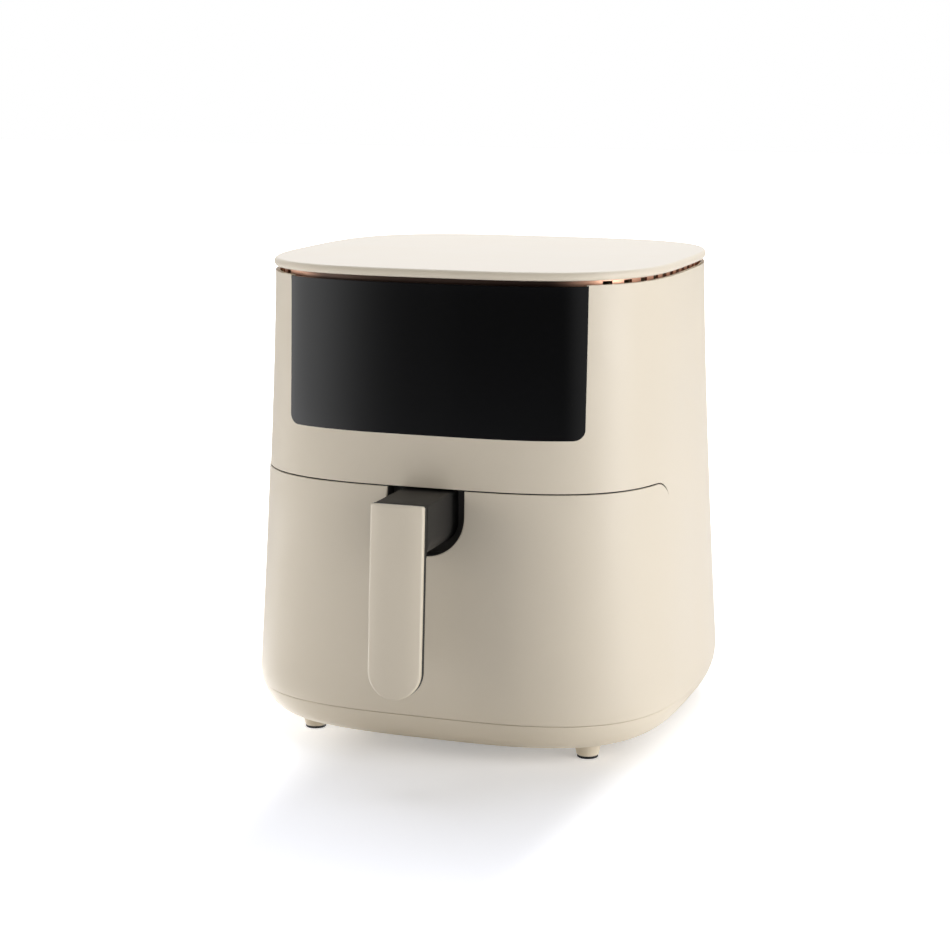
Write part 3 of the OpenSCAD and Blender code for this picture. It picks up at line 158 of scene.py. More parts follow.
def arcs(corners, steps=10):
    """Outline through rounded corners, each given as centre x, centre y, radius, first and last angle."""
    c, r, t = [], [], []
    for x, y, radius, a0, a1 in corners:
        for a in np.radians(np.linspace(a0, a1, steps + 1)):
            c.append((x, y))
            r.append(radius)
            t.append(a)
    c, r, t = np.array(c), np.array(r)[:, None], np.array(t)
    n = np.stack([np.cos(t), np.sin(t)], -1)
    return lambda out: (c + n * np.maximum(r + out, 0), n)


def rectangle(w, d, r, steps=10):
    """Outline of a rectangle about the middle, with corners of radius r."""
    x, y = w / 2 - r, d / 2 - r
    return arcs([(x, y, r, 0, 90), (-x, y, r, 90, 180), (-x, -y, r, 180, 270), (x, -y, r, 270, 360)], steps)


def tab(w, h, r, top_r, steps=12):
    """Outline with its top edge at 0, going down h, with lower corners of radius r."""
    x, k = w / 2, w / 2 - top_r
    return arcs([
        (k, -top_r, top_r, 0, 90),
        (-k, -top_r, top_r, 90, 180),
        (-x + r, -h + r, r, 180, 270),
        (x - r, -h + r, r, 270, 360),
    ], steps)


def circle(n=64):
    """Outline of a circle whose radius is how far out it is moved."""
    t = np.arange(n) * 2 * np.pi / n
    n2 = np.stack([np.cos(t), np.sin(t)], -1)
    return lambda out: (n2 * out, n2)


def profile(points, closed=False, steps=5):
    """Smooth runs of (out, z, normal out, normal z) along a path of (out, z, radius) corners."""
    pts = [np.array(p[:2], float) for p in points]
    radii = [p[2] for p in points]
    n = len(pts)
    runs, run = [], []
    order = range(n + 1) if closed else range(n)
    for i in order:
        p, r = pts[i % n], radii[i % n]
        before = p - pts[i - 1] if (closed or i > 0) else None
        after = pts[(i + 1) % n] - p if (closed or i < n - 1) else None
        d0 = None if before is None else before / np.linalg.norm(before)
        d1 = None if after is None else after / np.linalg.norm(after)
        n0 = None if d0 is None else np.array([d0[1], -d0[0]])
        n1 = None if d1 is None else np.array([d1[1], -d1[0]])
        if d0 is None:
            run.append((*p, *n1))
        elif d1 is None:
            run.append((*p, *n0))
        elif r <= 0:
            run.append((*p, *n0))
            runs.append(run)
            run = [(*p, *n1)]
        else:
            turn = math.acos(max(-1, min(1, float(d0 @ d1))))
            side = 1 if d0[0] * d1[1] - d0[1] * d1[0] > 0 else -1
            start = p - d0 * r * math.tan(turn / 2)
            centre = start - side * n0 * r
            for k in range(steps + 1):
                a = side * turn * k / steps
                c, s = math.cos(a), math.sin(a)
                m = np.array([c * n0[0] - s * n0[1], s * n0[0] + c * n0[1]])
                run.append((*(centre + side * m * r), *m))
        if closed and i == 0:
            runs, run = [], run[-1:]
    runs.append(run)
    return [r for r in runs if len(r) > 1]


def skin(t0, off=0.0):
    """The housing's surface about direction t0: u runs round it and v is the height. Also its inverse."""
    turn = np.radians(np.linspace(-180, 180, 2881))
    x, y = squircle(t0 + turn, 6)
    s = np.concatenate([[0], np.cumsum(np.hypot(np.diff(x), np.diff(y)))])
    s -= s[len(s) // 2]

    def at(u, v, depth):
        px, py = squircle(t0 + np.interp(u, s, turn), lean(v) + off + depth)
        return np.stack([px, py, v], -1)

    def find(px, py, pz):
        t = (np.arctan2(py, px) - t0 + np.pi) % (2 * np.pi) - np.pi
        return np.stack([np.interp(t, turn, s), np.broadcast_to(pz, t.shape)], -1)

    return at, find, s[-1]


# ---------------------------------------------------------------- meshes
class Solid:
    """Points with their normals, and faces, in millimetres about the middle of the body."""

    def __init__(self):
        self.v, self.n, self.f, self.count = [], [], [], 0

    def add(self, v, n, faces):
        """Points, their normals or one normal for all, and faces that count from the first of them."""
        v = np.asarray(v, float).reshape(-1, 3)
        n = np.asarray(n, float)
        n = np.broadcast_to(n, v.shape) if n.ndim == 1 else n.reshape(-1, 3)
        self.v.append(v)
        self.n.append(n)
        self.f += [[i + self.count for i in f] for f in faces]
        self.count += len(v)
        return self

    def grid(self, v, n, wrap):
        """Quads over rows and columns of points."""
        rows, cols = v.shape[:2]
        span = cols if wrap else cols - 1
        faces = [
            (i * cols + j, (i + 1) * cols + j, (i + 1) * cols + (j + 1) % cols, i * cols + (j + 1) % cols)
            for i in range(rows - 1)
            for j in range(span)
        ]
        return self.add(v, n, faces)

    def sweep(self, outline, runs, wrap=True):
        """A profile carried round an outline in plan."""
        for run in runs:
            v, n = [], []
            for out, z, a, b in run:
                p, m = outline(out)
                v.append(np.column_stack([p, np.full(len(p), z)]))
                n.append(np.column_stack([m * a, np.full(len(p), b)]))
            self.grid(np.array(v), np.array(n), wrap)
        return self

    def cap(self, outline, out, z, up):
        """Flat face inside an outline, that looks up (1) or down (-1)."""
        p, _ = outline(out)
        v = np.column_stack([p, np.full(len(p), z)])
        return self.add(v, UP * up, [list(range(len(p)))])

    def loft(self, rings):
        """Closed rings of points, with normals taken from the surface itself."""
        v = np.array(rings)
        du = np.roll(v, -1, 1) - np.roll(v, 1, 1)
        dv = np.gradient(v, axis=0)
        n = np.cross(du, dv)
        n /= np.linalg.norm(n, axis=2)[..., None] + 1e-12
        out = v - v.mean(axis=1)[:, None]
        if (n * out).sum() < 0:
            n = -n
        return self.grid(v, n, True)

    def moved(self, matrix):
        """The same solid, turned and moved."""
        m = np.array(matrix)
        self.v = [v @ m[:3, :3].T + m[:3, 3] for v in self.v]
        self.n = [n @ m[:3, :3].T for n in self.n]
        return self

    def copies(self, places):
        """The same solid at each place, instead of once."""
        v, n, f, count = self.v, self.n, self.f, self.count
        self.v, self.n, self.f = [], [], []
        for k, place in enumerate(places):
            self.v += [x + np.array(place, float) for x in v]
            self.n += n
            self.f += [[i + k * count for i in face] for face in f]
        self.count = count * len(places)
        return self

    def finish(self, name):
        """The object: points are merged where place and normal agree, and faces turned to look outwards."""
        v, n = np.concatenate(self.v), np.concatenate(self.n)
        key = np.round(np.column_stack([v / 1e-3, n / 1e-2])).astype(np.int64)
        _, index, back = np.unique(key, axis=0, return_index=True, return_inverse=True)
        back = back.ravel()
        v, n = v[index], n[index]
        faces = []
        for f in self.f:
            g = [int(back[i]) for i in f]
            g = [a for a, b in zip(g, g[-1:] + g[:-1]) if a != b]
            if len(g) < 3:
                continue
            p = v[g]
            normal = np.cross(p, np.roll(p, -1, 0)).sum(0)
            if np.linalg.norm(normal) < 1e-7:
                continue
            faces.append(g if normal @ n[g].sum(0) > 0 else g[::-1])
        v = (v + [0, SHIFT, 0]) * MM
        mesh = bpy.data.meshes.new(name)
        mesh.from_pydata(v.tolist(), [], faces)
        mesh.update()
        mesh.shade_smooth()
        mesh.normals_split_custom_set_from_vertices((n / np.linalg.norm(n, axis=1)[:, None]).tolist())
        o = bpy.data.objects.new(name, mesh)
        bpy.context.scene.collection.objects.link(o)
        return o


def inside(points, loops):
    """Which points lie inside the loops, by counting crossings."""
    hit = np.zeros(len(points), bool)
    for loop in loops:
        a, b = loop, np.roll(loop, -1, 0)
        for chunk in range(0, len(points), 2000):
            p = points[chunk:chunk + 2000]
            above = (a[:, 1] > p[:, 1:]) != (b[:, 1] > p[:, 1:])
            with np.errstate(divide="ignore", invalid="ignore"):
                x = a[:, 0] + (p[:, 1:] - a[:, 1]) * (b[:, 0] - a[:, 0]) / (b[:, 1] - a[:, 1])
            hit[chunk:chunk + 2000] ^= (above & (p[:, :1] < x)).sum(1) % 2 == 1
    return hit


def fill(loops, step):
    """Triangles inside the first loop and outside the others, with inner points step apart."""
    edge = np.concatenate(loops)
    lowest, highest = edge.min(0), edge.max(0)
    rows = np.arange(lowest[1] + step * 0.5, highest[1], step * 0.87)
    grid = []
    for i, y in enumerate(rows):
        x = np.arange(lowest[0] + step * (0.5 if i % 2 else 1.0), highest[0], step)
        grid.append(np.column_stack([x, np.full(len(x), y)]))
    grid = np.concatenate(grid)
    grid = grid[inside(grid, loops)]
    far = np.concatenate([
        np.sqrt(((grid[k:k + 1000, None] - edge[None]) ** 2).sum(2)).min(1) for k in range(0, len(grid), 1000)
    ]) if len(grid) else np.zeros(0)
    grid = grid[far > step * 0.55]
    links, base = [], 0
    for loop in loops:
        links += [(base + i, base + (i + 1) % len(loop)) for i in range(len(loop))]
        base += len(loop)
    points = [Vector(p) for p in np.concatenate([edge, grid]).tolist()]
    verts, _, tris = delaunay_2d_cdt(points, links, [], 0, 1e-6)[:3]
    uv = np.array([tuple(p) for p in verts])
    tris = np.array([tuple(t) for t in tris])
    return uv, tris[inside(uv[tris].mean(1), loops)]


def to_left(p, closed):
    """Mitred unit steps to the left of a chain of points."""
    d = np.roll(p, -1, 0) - p
    d /= np.linalg.norm(d, axis=1)[:, None] + 1e-12
    n = np.stack([-d[:, 1], d[:, 0]], -1)
    if not closed:
        n[-1] = n[-2]
    before = np.roll(n, 1, 0)
    if not closed:
        before[0] = n[0]
    return (n + before) / (1 + (n * before).sum(1))[:, None]


def plate(at, chains, thick, edge, step, lip=None):
    """Plate on a surface, with its inside to the left of each chain and with rounded outer edges.

    A chain is (points, closed). Open chains follow one another and are joined by straight cuts that stay
    sharp. Below the lip, the rim slopes in by the width of the rounding.
    """
    solid = Solid()

    def frame_of(uv, depth):
        """Both directions along the surface, and its normal."""
        u, v = uv[:, 0], uv[:, 1]
        h = 0.04
        du = at(u + h, v, depth) - at(u - h, v, depth)
        dv = at(u, v + h, depth) - at(u, v - h, depth)
        du /= np.linalg.norm(du, axis=1)[:, None]
        dv /= np.linalg.norm(dv, axis=1)[:, None]
        n = np.cross(du, dv)
        return du, dv, n / np.linalg.norm(n, axis=1)[:, None]

    rims, opened = [], []
    for p, closed in chains:
        m = to_left(p, closed)
        du, dv, n = frame_of(p, 0.0)
        aside = -(du * m[:, :1] + dv * m[:, 1:])
        aside /= np.linalg.norm(aside, axis=1)[:, None]
        v_rows, n_rows = [], []
        for a in np.radians([0, 22.5, 45, 67.5, 90]):
            q = p + m * edge * (1 - math.cos(a))
            v_rows.append(at(q[:, 0], q[:, 1], edge * (1 - math.sin(a))))
            n_rows.append(aside * math.cos(a) + n * math.sin(a))
        solid.grid(np.array(v_rows), np.array(n_rows), closed)
        rim = p + m * edge
        deep = at(p[:, 0], p[:, 1], lip or thick)
        solid.grid(np.array([deep, v_rows[0]]), np.array([aside, aside]), closed)
        slope = -n if lip is None else aside * 0.8 - n * 0.6
        solid.grid(np.array([deep, at(rim[:, 0], rim[:, 1], thick)]), np.array([slope, slope]), closed)
        (rims if closed else opened).append(rim)
    if opened:
        loop = []
        for k, chain in enumerate(opened):
            follow = opened[(k + 1) % len(opened)]
            gap = follow[0] - chain[-1]
            count = max(1, int(np.linalg.norm(gap) / step))
            loop += [chain] + [(chain[-1] + gap * i / count)[None] for i in range(1, count)]
        rims.insert(0, np.concatenate(loop))
    uv, tris = fill(rims, step)
    _, _, n = frame_of(uv, 0.0)
    solid.add(at(uv[:, 0], uv[:, 1], 0.0), n, tris.tolist())
    solid.add(at(uv[:, 0], uv[:, 1], thick), -n, tris.tolist())
    return solid


def line(a, b, step):
    """Points from a up to but not including b."""
    a, b = np.array(a, float), np.array(b, float)
    n = max(1, int(np.ceil(np.linalg.norm(b - a) / step)))
    return a + (b - a) * np.arange(n)[:, None] / n


def bend(cx, cy, r, a0, a1, n=10):
    """Points along an arc, without its last one."""
    t = np.radians(a0 + (a1 - a0) * np.arange(n) / n)
    return np.stack([cx + r * np.cos(t), cy + r * np.sin(t)], -1)


# ---------------------------------------------------------------- materials
def node(tree, kind, **values):
    """New node with these properties and inputs."""
    n = tree.nodes.new(kind)
    for key, value in values.items():
        if hasattr(n, key):
            setattr(n, key, value)
        else:
            n.inputs[key].default_value = value
    return n


def ramp(tree, source, low_in, high_in, low_out, high_out, shape="SMOOTHSTEP"):
    """Change of a value from one level to another."""
    levels = {"From Min": low_in, "From Max": high_in, "To Min": low_out, "To Max": high_out}
    r = node(tree, "ShaderNodeMapRange", interpolation_type=shape, **levels)
    tree.links.new(source, r.inputs["Value"])
    return r.outputs["Result"]


def combine(tree, operation, a, b):
    """Arithmetic on two values."""
    m = node(tree, "ShaderNodeMath", operation=operation)
    tree.links.new(a, m.inputs[0])
    tree.links.new(b, m.inputs[1])
    return m.outputs["Value"]


def finish_of(
    name, color, rough, metal=0.0, grain=900.0, bump=0.05, spread=0.05, tint=0.04, stretch=(1, 1, 1),
    scratch=0.0, coat=0.0, specular=0.5,
):
    """Procedural finish: fine grain as bump, blotches in roughness and colour, and thin scratches."""
    m = bpy.data.materials.new(name)
    m.use_nodes = True
    tree = m.node_tree
    link = tree.links.new
    shader = tree.nodes["Principled BSDF"]
    shader.inputs["Metallic"].default_value = metal
    shader.inputs["Coat Weight"].default_value = coat
    shader.inputs["Coat Roughness"].default_value = 0.08
    shader.inputs["Specular IOR Level"].default_value = specular
    place = node(tree, "ShaderNodeTexCoord").outputs["Object"]
    mapping = node(tree, "ShaderNodeMapping")
    mapping.inputs["Scale"].default_value = stretch
    link(place, mapping.inputs["Vector"])
    fine = node(tree, "ShaderNodeTexNoise", Scale=grain, Detail=4.0, Roughness=0.6)
    link(mapping.outputs["Vector"], fine.inputs["Vector"])
    broad = node(tree, "ShaderNodeTexNoise", Scale=14.0, Detail=3.0, Roughness=0.55)
    link(place, broad.inputs["Vector"])
    height = fine.outputs["Fac"]
    if scratch:
        lines = node(tree, "ShaderNodeTexNoise", Scale=60.0, Detail=8.0, Roughness=0.8, Distortion=1.5)
        link(place, lines.inputs["Vector"])
        thin = ramp(tree, lines.outputs["Fac"], 0.49, 0.51, 0.0, scratch, "LINEAR")
        height = combine(tree, "ADD", fine.outputs["Fac"], thin)
    relief = node(tree, "ShaderNodeBump", Strength=bump, Distance=0.0004)
    link(height, relief.inputs["Height"])
    link(relief.outputs["Normal"], shader.inputs["Normal"])
    gloss = ramp(tree, broad.outputs["Fac"], 0.3, 0.7, rough - spread, rough + spread, "LINEAR")
    link(gloss, shader.inputs["Roughness"])
    blend = node(tree, "ShaderNodeMix", data_type="RGBA")
    link(broad.outputs["Fac"], blend.inputs["Factor"])
    blend.inputs["A"].default_value = (*[c * (1 - tint) for c in color], 1)
    blend.inputs["B"].default_value = (*[min(1, c * (1 + tint)) for c in color], 1)
    link(blend.outputs["Result"], shader.inputs["Base Color"])
    return m


def paint_reflection_and_shade_middle(m, dark, near, far):
    """Painted reflection and shade: darken a finish's colour towards the middle of the object's width,
    between two distances from it in metres.
    """
    tree = m.node_tree
    place = node(tree, "ShaderNodeSeparateXYZ")
    tree.links.new(node(tree, "ShaderNodeTexCoord").outputs["Object"], place.inputs[0])
    aside = node(tree, "ShaderNodeMath", operation="ABSOLUTE")
    tree.links.new(place.outputs["X"], aside.inputs[0])
    share = ramp(tree, aside.outputs["Value"], near, far, dark, 1.0)
    shader = tree.nodes["Principled BSDF"]
    held = shader.inputs["Base Color"].links[0].from_socket
    shade = node(tree, "ShaderNodeVectorMath", operation="SCALE")
    tree.links.new(held, shade.inputs[0])
    tree.links.new(share, shade.inputs["Scale"])
    tree.links.new(shade.outputs["Vector"], shader.inputs["Base Color"])
    return m


FINISHES = {
    "cream_plastic": finish_of(
        "cream_plastic", (0.83, 0.735, 0.570), 0.46, grain=1500, bump=0.06, tint=0.012
    ),
    "dark_panel": finish_of(
        "dark_panel", (0.0015, 0.0015, 0.0016), 0.10, grain=60, bump=0.004, spread=0.03, specular=0.2
    ),
    "copper_trim": finish_of("copper_trim", (0.80, 0.44, 0.29), 0.34, metal=0.7, grain=1400, bump=0.04),
    "charcoal_plastic": finish_of(
        "charcoal_plastic", (0.026, 0.0238, 0.0205), 0.55, grain=1300, bump=0.10, spread=0.06, specular=0.22
    ),
    # Painted light: the pocket's charcoal plastic, made lighter to stand in for light reaching inside the
    # recess
    "pocket_charcoal_painted_light": finish_of(
        "pocket_charcoal_painted_light", (0.075, 0.069, 0.059), 0.55, grain=1300, bump=0.10, spread=0.06, specular=0.3
    ),
    "grey_plastic": finish_of("grey_plastic", (0.045, 0.045, 0.047), 0.52, grain=1200, bump=0.10),
    "black_plastic": finish_of("black_plastic", (0.02, 0.02, 0.021), 0.45, grain=1100, bump=0.10),
    "foot_rubber": finish_of("foot_rubber", (0.02, 0.02, 0.02), 0.75, grain=1600, bump=0.25, specular=0.3),
    "silicone": finish_of("silicone", (0.10, 0.10, 0.105), 0.6, grain=900, bump=0.12, specular=0.4),
    "pan_coating": finish_of(
        "pan_coating", (0.045, 0.045, 0.048), 0.42, metal=0.25, grain=2600, bump=0.35, scratch=0.15
    ),
    "steel": finish_of(
        "steel", (0.56, 0.56, 0.57), 0.34, metal=1.0, grain=500, bump=0.10, stretch=(1, 9, 9), scratch=0.2
    ),
    "heater_tube": finish_of(
        "heater_tube", (0.22, 0.19, 0.17), 0.45, metal=0.9, grain=800, bump=0.2, tint=0.3
    ),
    "aluminium": finish_of(
        "aluminium", (0.72, 0.73, 0.74), 0.36, metal=1.0, grain=700, bump=0.12, scratch=0.2
    ),
    "brass": finish_of("brass", (0.72, 0.52, 0.22), 0.3, metal=1.0, grain=700, bump=0.08, scratch=0.2),
    "winding": finish_of(
        "winding", (0.50, 0.20, 0.07), 0.3, metal=0.5, grain=420, bump=0.5, stretch=(0.3, 6, 6)
    ),
    "board_green": finish_of(
        "board_green", (0.02, 0.13, 0.06), 0.35, grain=240, bump=0.2, tint=0.25, coat=0.3
    ),
    "nylon": finish_of("nylon", (0.66, 0.65, 0.60), 0.5, grain=900, bump=0.12, tint=0.06),
    "cable": finish_of("cable", (0.55, 0.55, 0.54), 0.45, grain=700, bump=0.15, tint=0.06),
}
# Painted reflection and shade: the ring looks darker along its front and back than at its sides, its copper
# colour darkened there for the dark room it mirrors and the shade under the lid
paint_reflection_and_shade_middle(FINISHES["copper_trim"], 0.06, 0.074, 0.120)


def piece(solid, name, body, slot, *nodes, finish=None):
    """One visible piece: it rides on its body and stands for its CAD nodes.

    A finish of its own may vary the slot's.
    """
    o = solid.finish(name)
    o.data.materials.append(FINISHES[finish or slot])
    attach(o, body)
    if nodes:
        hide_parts(*nodes)
    return o


# ---------------------------------------------------------------- body shell, with its back at u = 0
def mirror(p):
    """The same chain on the other side, still with its inside on the left."""
    return (p * [-1, 1])[::-1]


def body_shell():
    """The skin about the back with its inverse, and the shell's lower and upper edges as chains."""
    at, find, half = skin(math.pi / 2)
    y1, z1, z0, r = SIDE_JOINT + SIDE_SEAM / 2, BODY_FOOT, COVERS_FOOT, SIDE_R
    corner = bend(y1 - r, z1 - r, r, 0, 90)
    right_side = find(width_at(corner[:, 0], corner[:, 1]), corner[:, 0], corner[:, 1])
    z = line((z0, 0), (z1 - r, 0), 4)[:, 0]
    edge = find(width_at(np.full_like(z, y1), z), np.full_like(z, y1), z)
    u_front = right_side[-1, 0]
    top = line((u_front, z1), (-half, z1), 4)[1:]
    right = np.concatenate([edge, right_side, top, [[-half, z1]]])
    left = mirror(right)
    low_edge = line(left[-1], right[0], 4)[1:]
    lower = np.concatenate([left, low_edge, right])
    w, h, pr, gap = PANEL_W / 2, PANEL_H, PANEL_R, GAP
    zb = RIM - h - gap
    xs = line((0, 0), (w + gap - pr, 0), 4)[:, 0]
    flat = find(xs, -depth_at(xs, zb), np.full_like(xs, zb))
    flat[0, 0] = -half
    c = bend(w - pr, zb + gap + pr, pr + gap, 270, 360)
    turn = find(c[:, 0], -depth_at(c[:, 0], c[:, 1]), c[:, 1])
    z = line((zb + gap + pr, 0), (RIM, 0), 4)[:, 0]
    up = find(np.full_like(z, w + gap), -depth_at(w + gap, z), z)
    top_u = find(np.array([w + gap]), -depth_at(np.array([w + gap]), RIM), np.array([RIM]))
    window = np.concatenate([flat, turn, up, top_u])
    other = mirror(window)
    rim = line(window[-1], other[0], 4)[1:]
    upper = np.concatenate([window, rim, other])
    return at, find, lower, upper


# Each chain keeps the plate on its left, seen from outside with u to the right.
at_back, find_back, lower_chain, upper_chain = body_shell()


def oriented(chain, sign):
    """The closed chain, turned so that its area has this sign."""
    x, y = chain[:, 0], chain[:, 1]
    area = (x * np.roll(y, -1) - y * np.roll(x, -1)).sum()
    return chain if area * sign > 0 else chain[::-1]


def window_loop(find, w, h, r, z):
    """Rounded rectangle on the back of the housing, about height z."""
    p, _ = rectangle(w, h, r, 8)(0)
    p = np.concatenate([line(a, b, 5) for a, b in zip(p, np.roll(p, -1, 0))]) + [0, z]
    return find(p[:, 0], depth_at(p[:, 0], p[:, 1]), p[:, 1])


hole_of_grille = window_loop(find_back, GRILLE_W + 2 * GAP, GRILLE_H + 2 * GAP, GRILLE_R + GAP, GRILLE_Z)
grille_hole = oriented(hole_of_grille, -1)
t = np.radians(np.arange(0, 360, 15))
ring = np.stack([INLET_X + INLET_R * np.cos(t), INLET_Z + INLET_R * np.sin(t)], -1)
gland_hole = oriented(find_back(ring[:, 0], depth_at(ring[:, 0], ring[:, 1]), ring[:, 1]), -1)
shell = plate(
    at_back,
    [(lower_chain, False), (upper_chain, False), (grille_hole, True), (gland_hole, True)],
    WALL, PLATE_EDGE, PLATE_STEP,
)
piece(shell, "body_shell_skin", "body", "cream_plastic", "body_shell")

# ---------------------------------------------------------------- drawer front and panel, front at u = 0
at_front, find_front, _ = skin(-math.pi / 2, -PROUD)


def drawer_front():
    """Outline of the drawer's front, round its sides and with the notch for the pocket."""
    y1, z1, z0, r = SIDE_JOINT - SIDE_SEAM / 2, FRONT_TOP, COVERS_FOOT, SIDE_R
    z = line((z0, 0), (z1 - r, 0), 4)[:, 0]
    edge = find_front(width_at(np.full_like(z, y1), z, -PROUD), np.full_like(z, y1), z)
    c = bend(y1 - r, z1 - r, r, 0, 90)
    corner = find_front(width_at(c[:, 0], c[:, 1], -PROUD), c[:, 0], c[:, 1])
    w = POCKET_W / 2
    notch_top = find_front(np.array([w]), -depth_at(np.array([w]), z1, -PROUD), np.array([z1]))
    top = line(corner[-1] * [1, 0] + [0, z1], notch_top[0], 4)
    z = line((z1, 0), (DRAWER_TOP - POCKET_H + POCKET_R, 0), 4)[:, 0]
    down = find_front(np.full_like(z, w), -depth_at(np.full_like(z, w), z, -PROUD), z)
    c = bend(w - POCKET_R, DRAWER_TOP - POCKET_H + POCKET_R, POCKET_R, 0, -90, 16)
    turn = find_front(c[:, 0], -depth_at(c[:, 0], c[:, 1], -PROUD), c[:, 1])
    middle = np.array([[w - POCKET_R, DRAWER_TOP - POCKET_H]])
    right = np.concatenate([edge, corner, top, down, turn, middle])
    left = mirror(right)
    bottom = line(left[-1], right[0], 4)[1:]
    return np.concatenate([right, left, bottom])


front_chain = oriented(drawer_front(), 1)
piece(
    plate(at_front, [(front_chain, True)], WALL, 0.5, PLATE_STEP, lip=0.8),
    "drawer_front_skin", "drawer", "cream_plastic", "drawer_front",
)

at_panel, find_panel, _ = skin(-math.pi / 2)


def panel_loop():
    """Outline of the touch panel, with its top edge at the rim."""
    x, r, z0 = PANEL_W / 2, PANEL_R, RIM - PANEL_H
    p = np.concatenate([
        line((-x + r, z0), (x - r, z0), 4),
        bend(x - r, z0 + r, r, 270, 360),
        line((x, z0 + r), (x, RIM), 4),
        line((x, RIM), (-x, RIM), 4),
        line((-x, RIM), (-x, z0 + r), 4),
        bend(-x + r, z0 + r, r, 180, 270),
    ])
    return oriented(find_panel(p[:, 0], -depth_at(p[:, 0], p[:, 1]), p[:, 1]), 1)


piece(
    plate(at_panel, [(panel_loop(), True)], 1.5, 0.45, 5.0),
    "touch_panel_glass", "body", "dark_panel", "touch_panel",
)

# ---------------------------------------------------------------- rear grille
at_grille, find_grille, _ = skin(math.pi / 2, -GRILLE_PROUD)
outer = oriented(window_loop(find_grille, GRILLE_W, GRILLE_H, GRILLE_R, GRILLE_Z), 1)
slots = []
slot_w, slot_h, margin = 37.0, 3.6, 7.0
rows_of_slots = 9
pitch = (GRILLE_H - 2 * margin - slot_h) / (rows_of_slots - 1)
for i in range(rows_of_slots):
    z = GRILLE_Z - GRILLE_H / 2 + margin + i * pitch + slot_h / 2
    for x in (-slot_w / 2 - 2, slot_w / 2 + 2):
        p, _ = rectangle(slot_w, slot_h, 1.2, 3)(0)
        p = np.concatenate([line(a, b, 8) for a, b in zip(p, np.roll(p, -1, 0))]) + [x, z]
        on_skin = find_grille(p[:, 0], depth_at(p[:, 0], p[:, 1], -GRILLE_PROUD), p[:, 1])
        slots.append((oriented(on_skin, -1), True))
piece(
    plate(at_grille, [(outer, True)] + slots, WALL + 2 * GRILLE_PROUD, 0.4, PLATE_STEP),
    "rear_grille_louvre", "body", "cream_plastic", "rear_grille",
)

# ---------------------------------------------------------------- base
HOUSING = plan()


def base():
    """The tray under the drawer: its curved side, its tongue inside the wall and its floor with holes."""
    h = SHOULDER - UNDER
    top = BASE_TOP + 0.2
    t0 = math.asin((SHOULDER - top) / h)
    outside = []
    for k in range(17):
        a = math.pi / 2 - (math.pi / 2 - t0) * k / 16
        n = np.array([h * math.cos(a), -BASE_INSET * math.sin(a)])
        n /= np.linalg.norm(n)
        outside.append((-BASE_INSET * (1 - math.cos(a)), SHOULDER - h * math.sin(a), *n))
    edge = 0.35
    outside[-1] = (outside[-1][0], top - edge, 1.0, 0.0)
    out0 = outside[-1][0]
    for a in np.radians([30, 60, 90]):
        along, up = math.cos(a), math.sin(a)
        outside.append((out0 - edge * (1 - along), top - edge * (1 - up), along, up))
    tongue = -float(lean(top)) - WALL - GAP
    rest = profile([(out0 - edge, top, 0), (tongue, top, 0), (tongue, 33.6, 0.3), (tongue - 1.6, 33.6, 0.3),
                    (tongue - 1.6, 24, 0), (tongue - 13, 14.2, 0)])
    solid = Solid()
    solid.sweep(HOUSING, [outside] + rest)
    solid.cap(HOUSING, tongue - 13, 14.2, 1)
    p, _ = HOUSING(-BASE_INSET)
    holes = []
    t = np.radians(np.arange(0, 360, 15))
    for sx, sy in CORNERS:
        c = np.stack([sx * SCREWS_X + 4 * np.cos(t), sy * SCREWS_Y + 4 * np.sin(t)], -1)
        holes.append(oriented(c, -1))
    uv, tris = fill([oriented(p, 1)] + holes, 30.0)
    solid.add(np.column_stack([uv, np.full(len(uv), UNDER)]), -UP, tris.tolist())
    for sx, sy in CORNERS:
        recess = Solid()
        recess.sweep(circle(24), profile([(1.8, 14.5, 0), (4, 14.5, 0), (4, UNDER, 0)][::-1]))
        recess.n = [-n for n in recess.n]
        recess.moved(Matrix.Translation((sx * SCREWS_X, sy * SCREWS_Y, 0)))
        solid.add(np.concatenate(recess.v), np.concatenate(recess.n), recess.f)
    return solid


piece(base(), "base_tray", "body", "cream_plastic", "base_shell")

feet = Solid()
feet.sweep(circle(48), profile([(6.6, 1.8, 0), (7.3, 1.8, 0.4), (9.5, 11.5, 0)]))
feet.cap(circle(48), 6.6, 1.8, -1)
feet_at = [(sx * FEET_X, sy * FEET_Y, 0) for sx, sy in CORNERS]
piece(feet.copies(feet_at), "feet_bosses", "body", "cream_plastic", "feet")
pads = Solid()
pads.sweep(circle(48), profile([(6, 0, 0), (7, 0, 0.5), (7, 1.8, 0)]))
pads.cap(circle(48), 6, 0, -1)
piece(pads.copies(feet_at), "feet_pads", "body", "foot_rubber", "foot_pads")


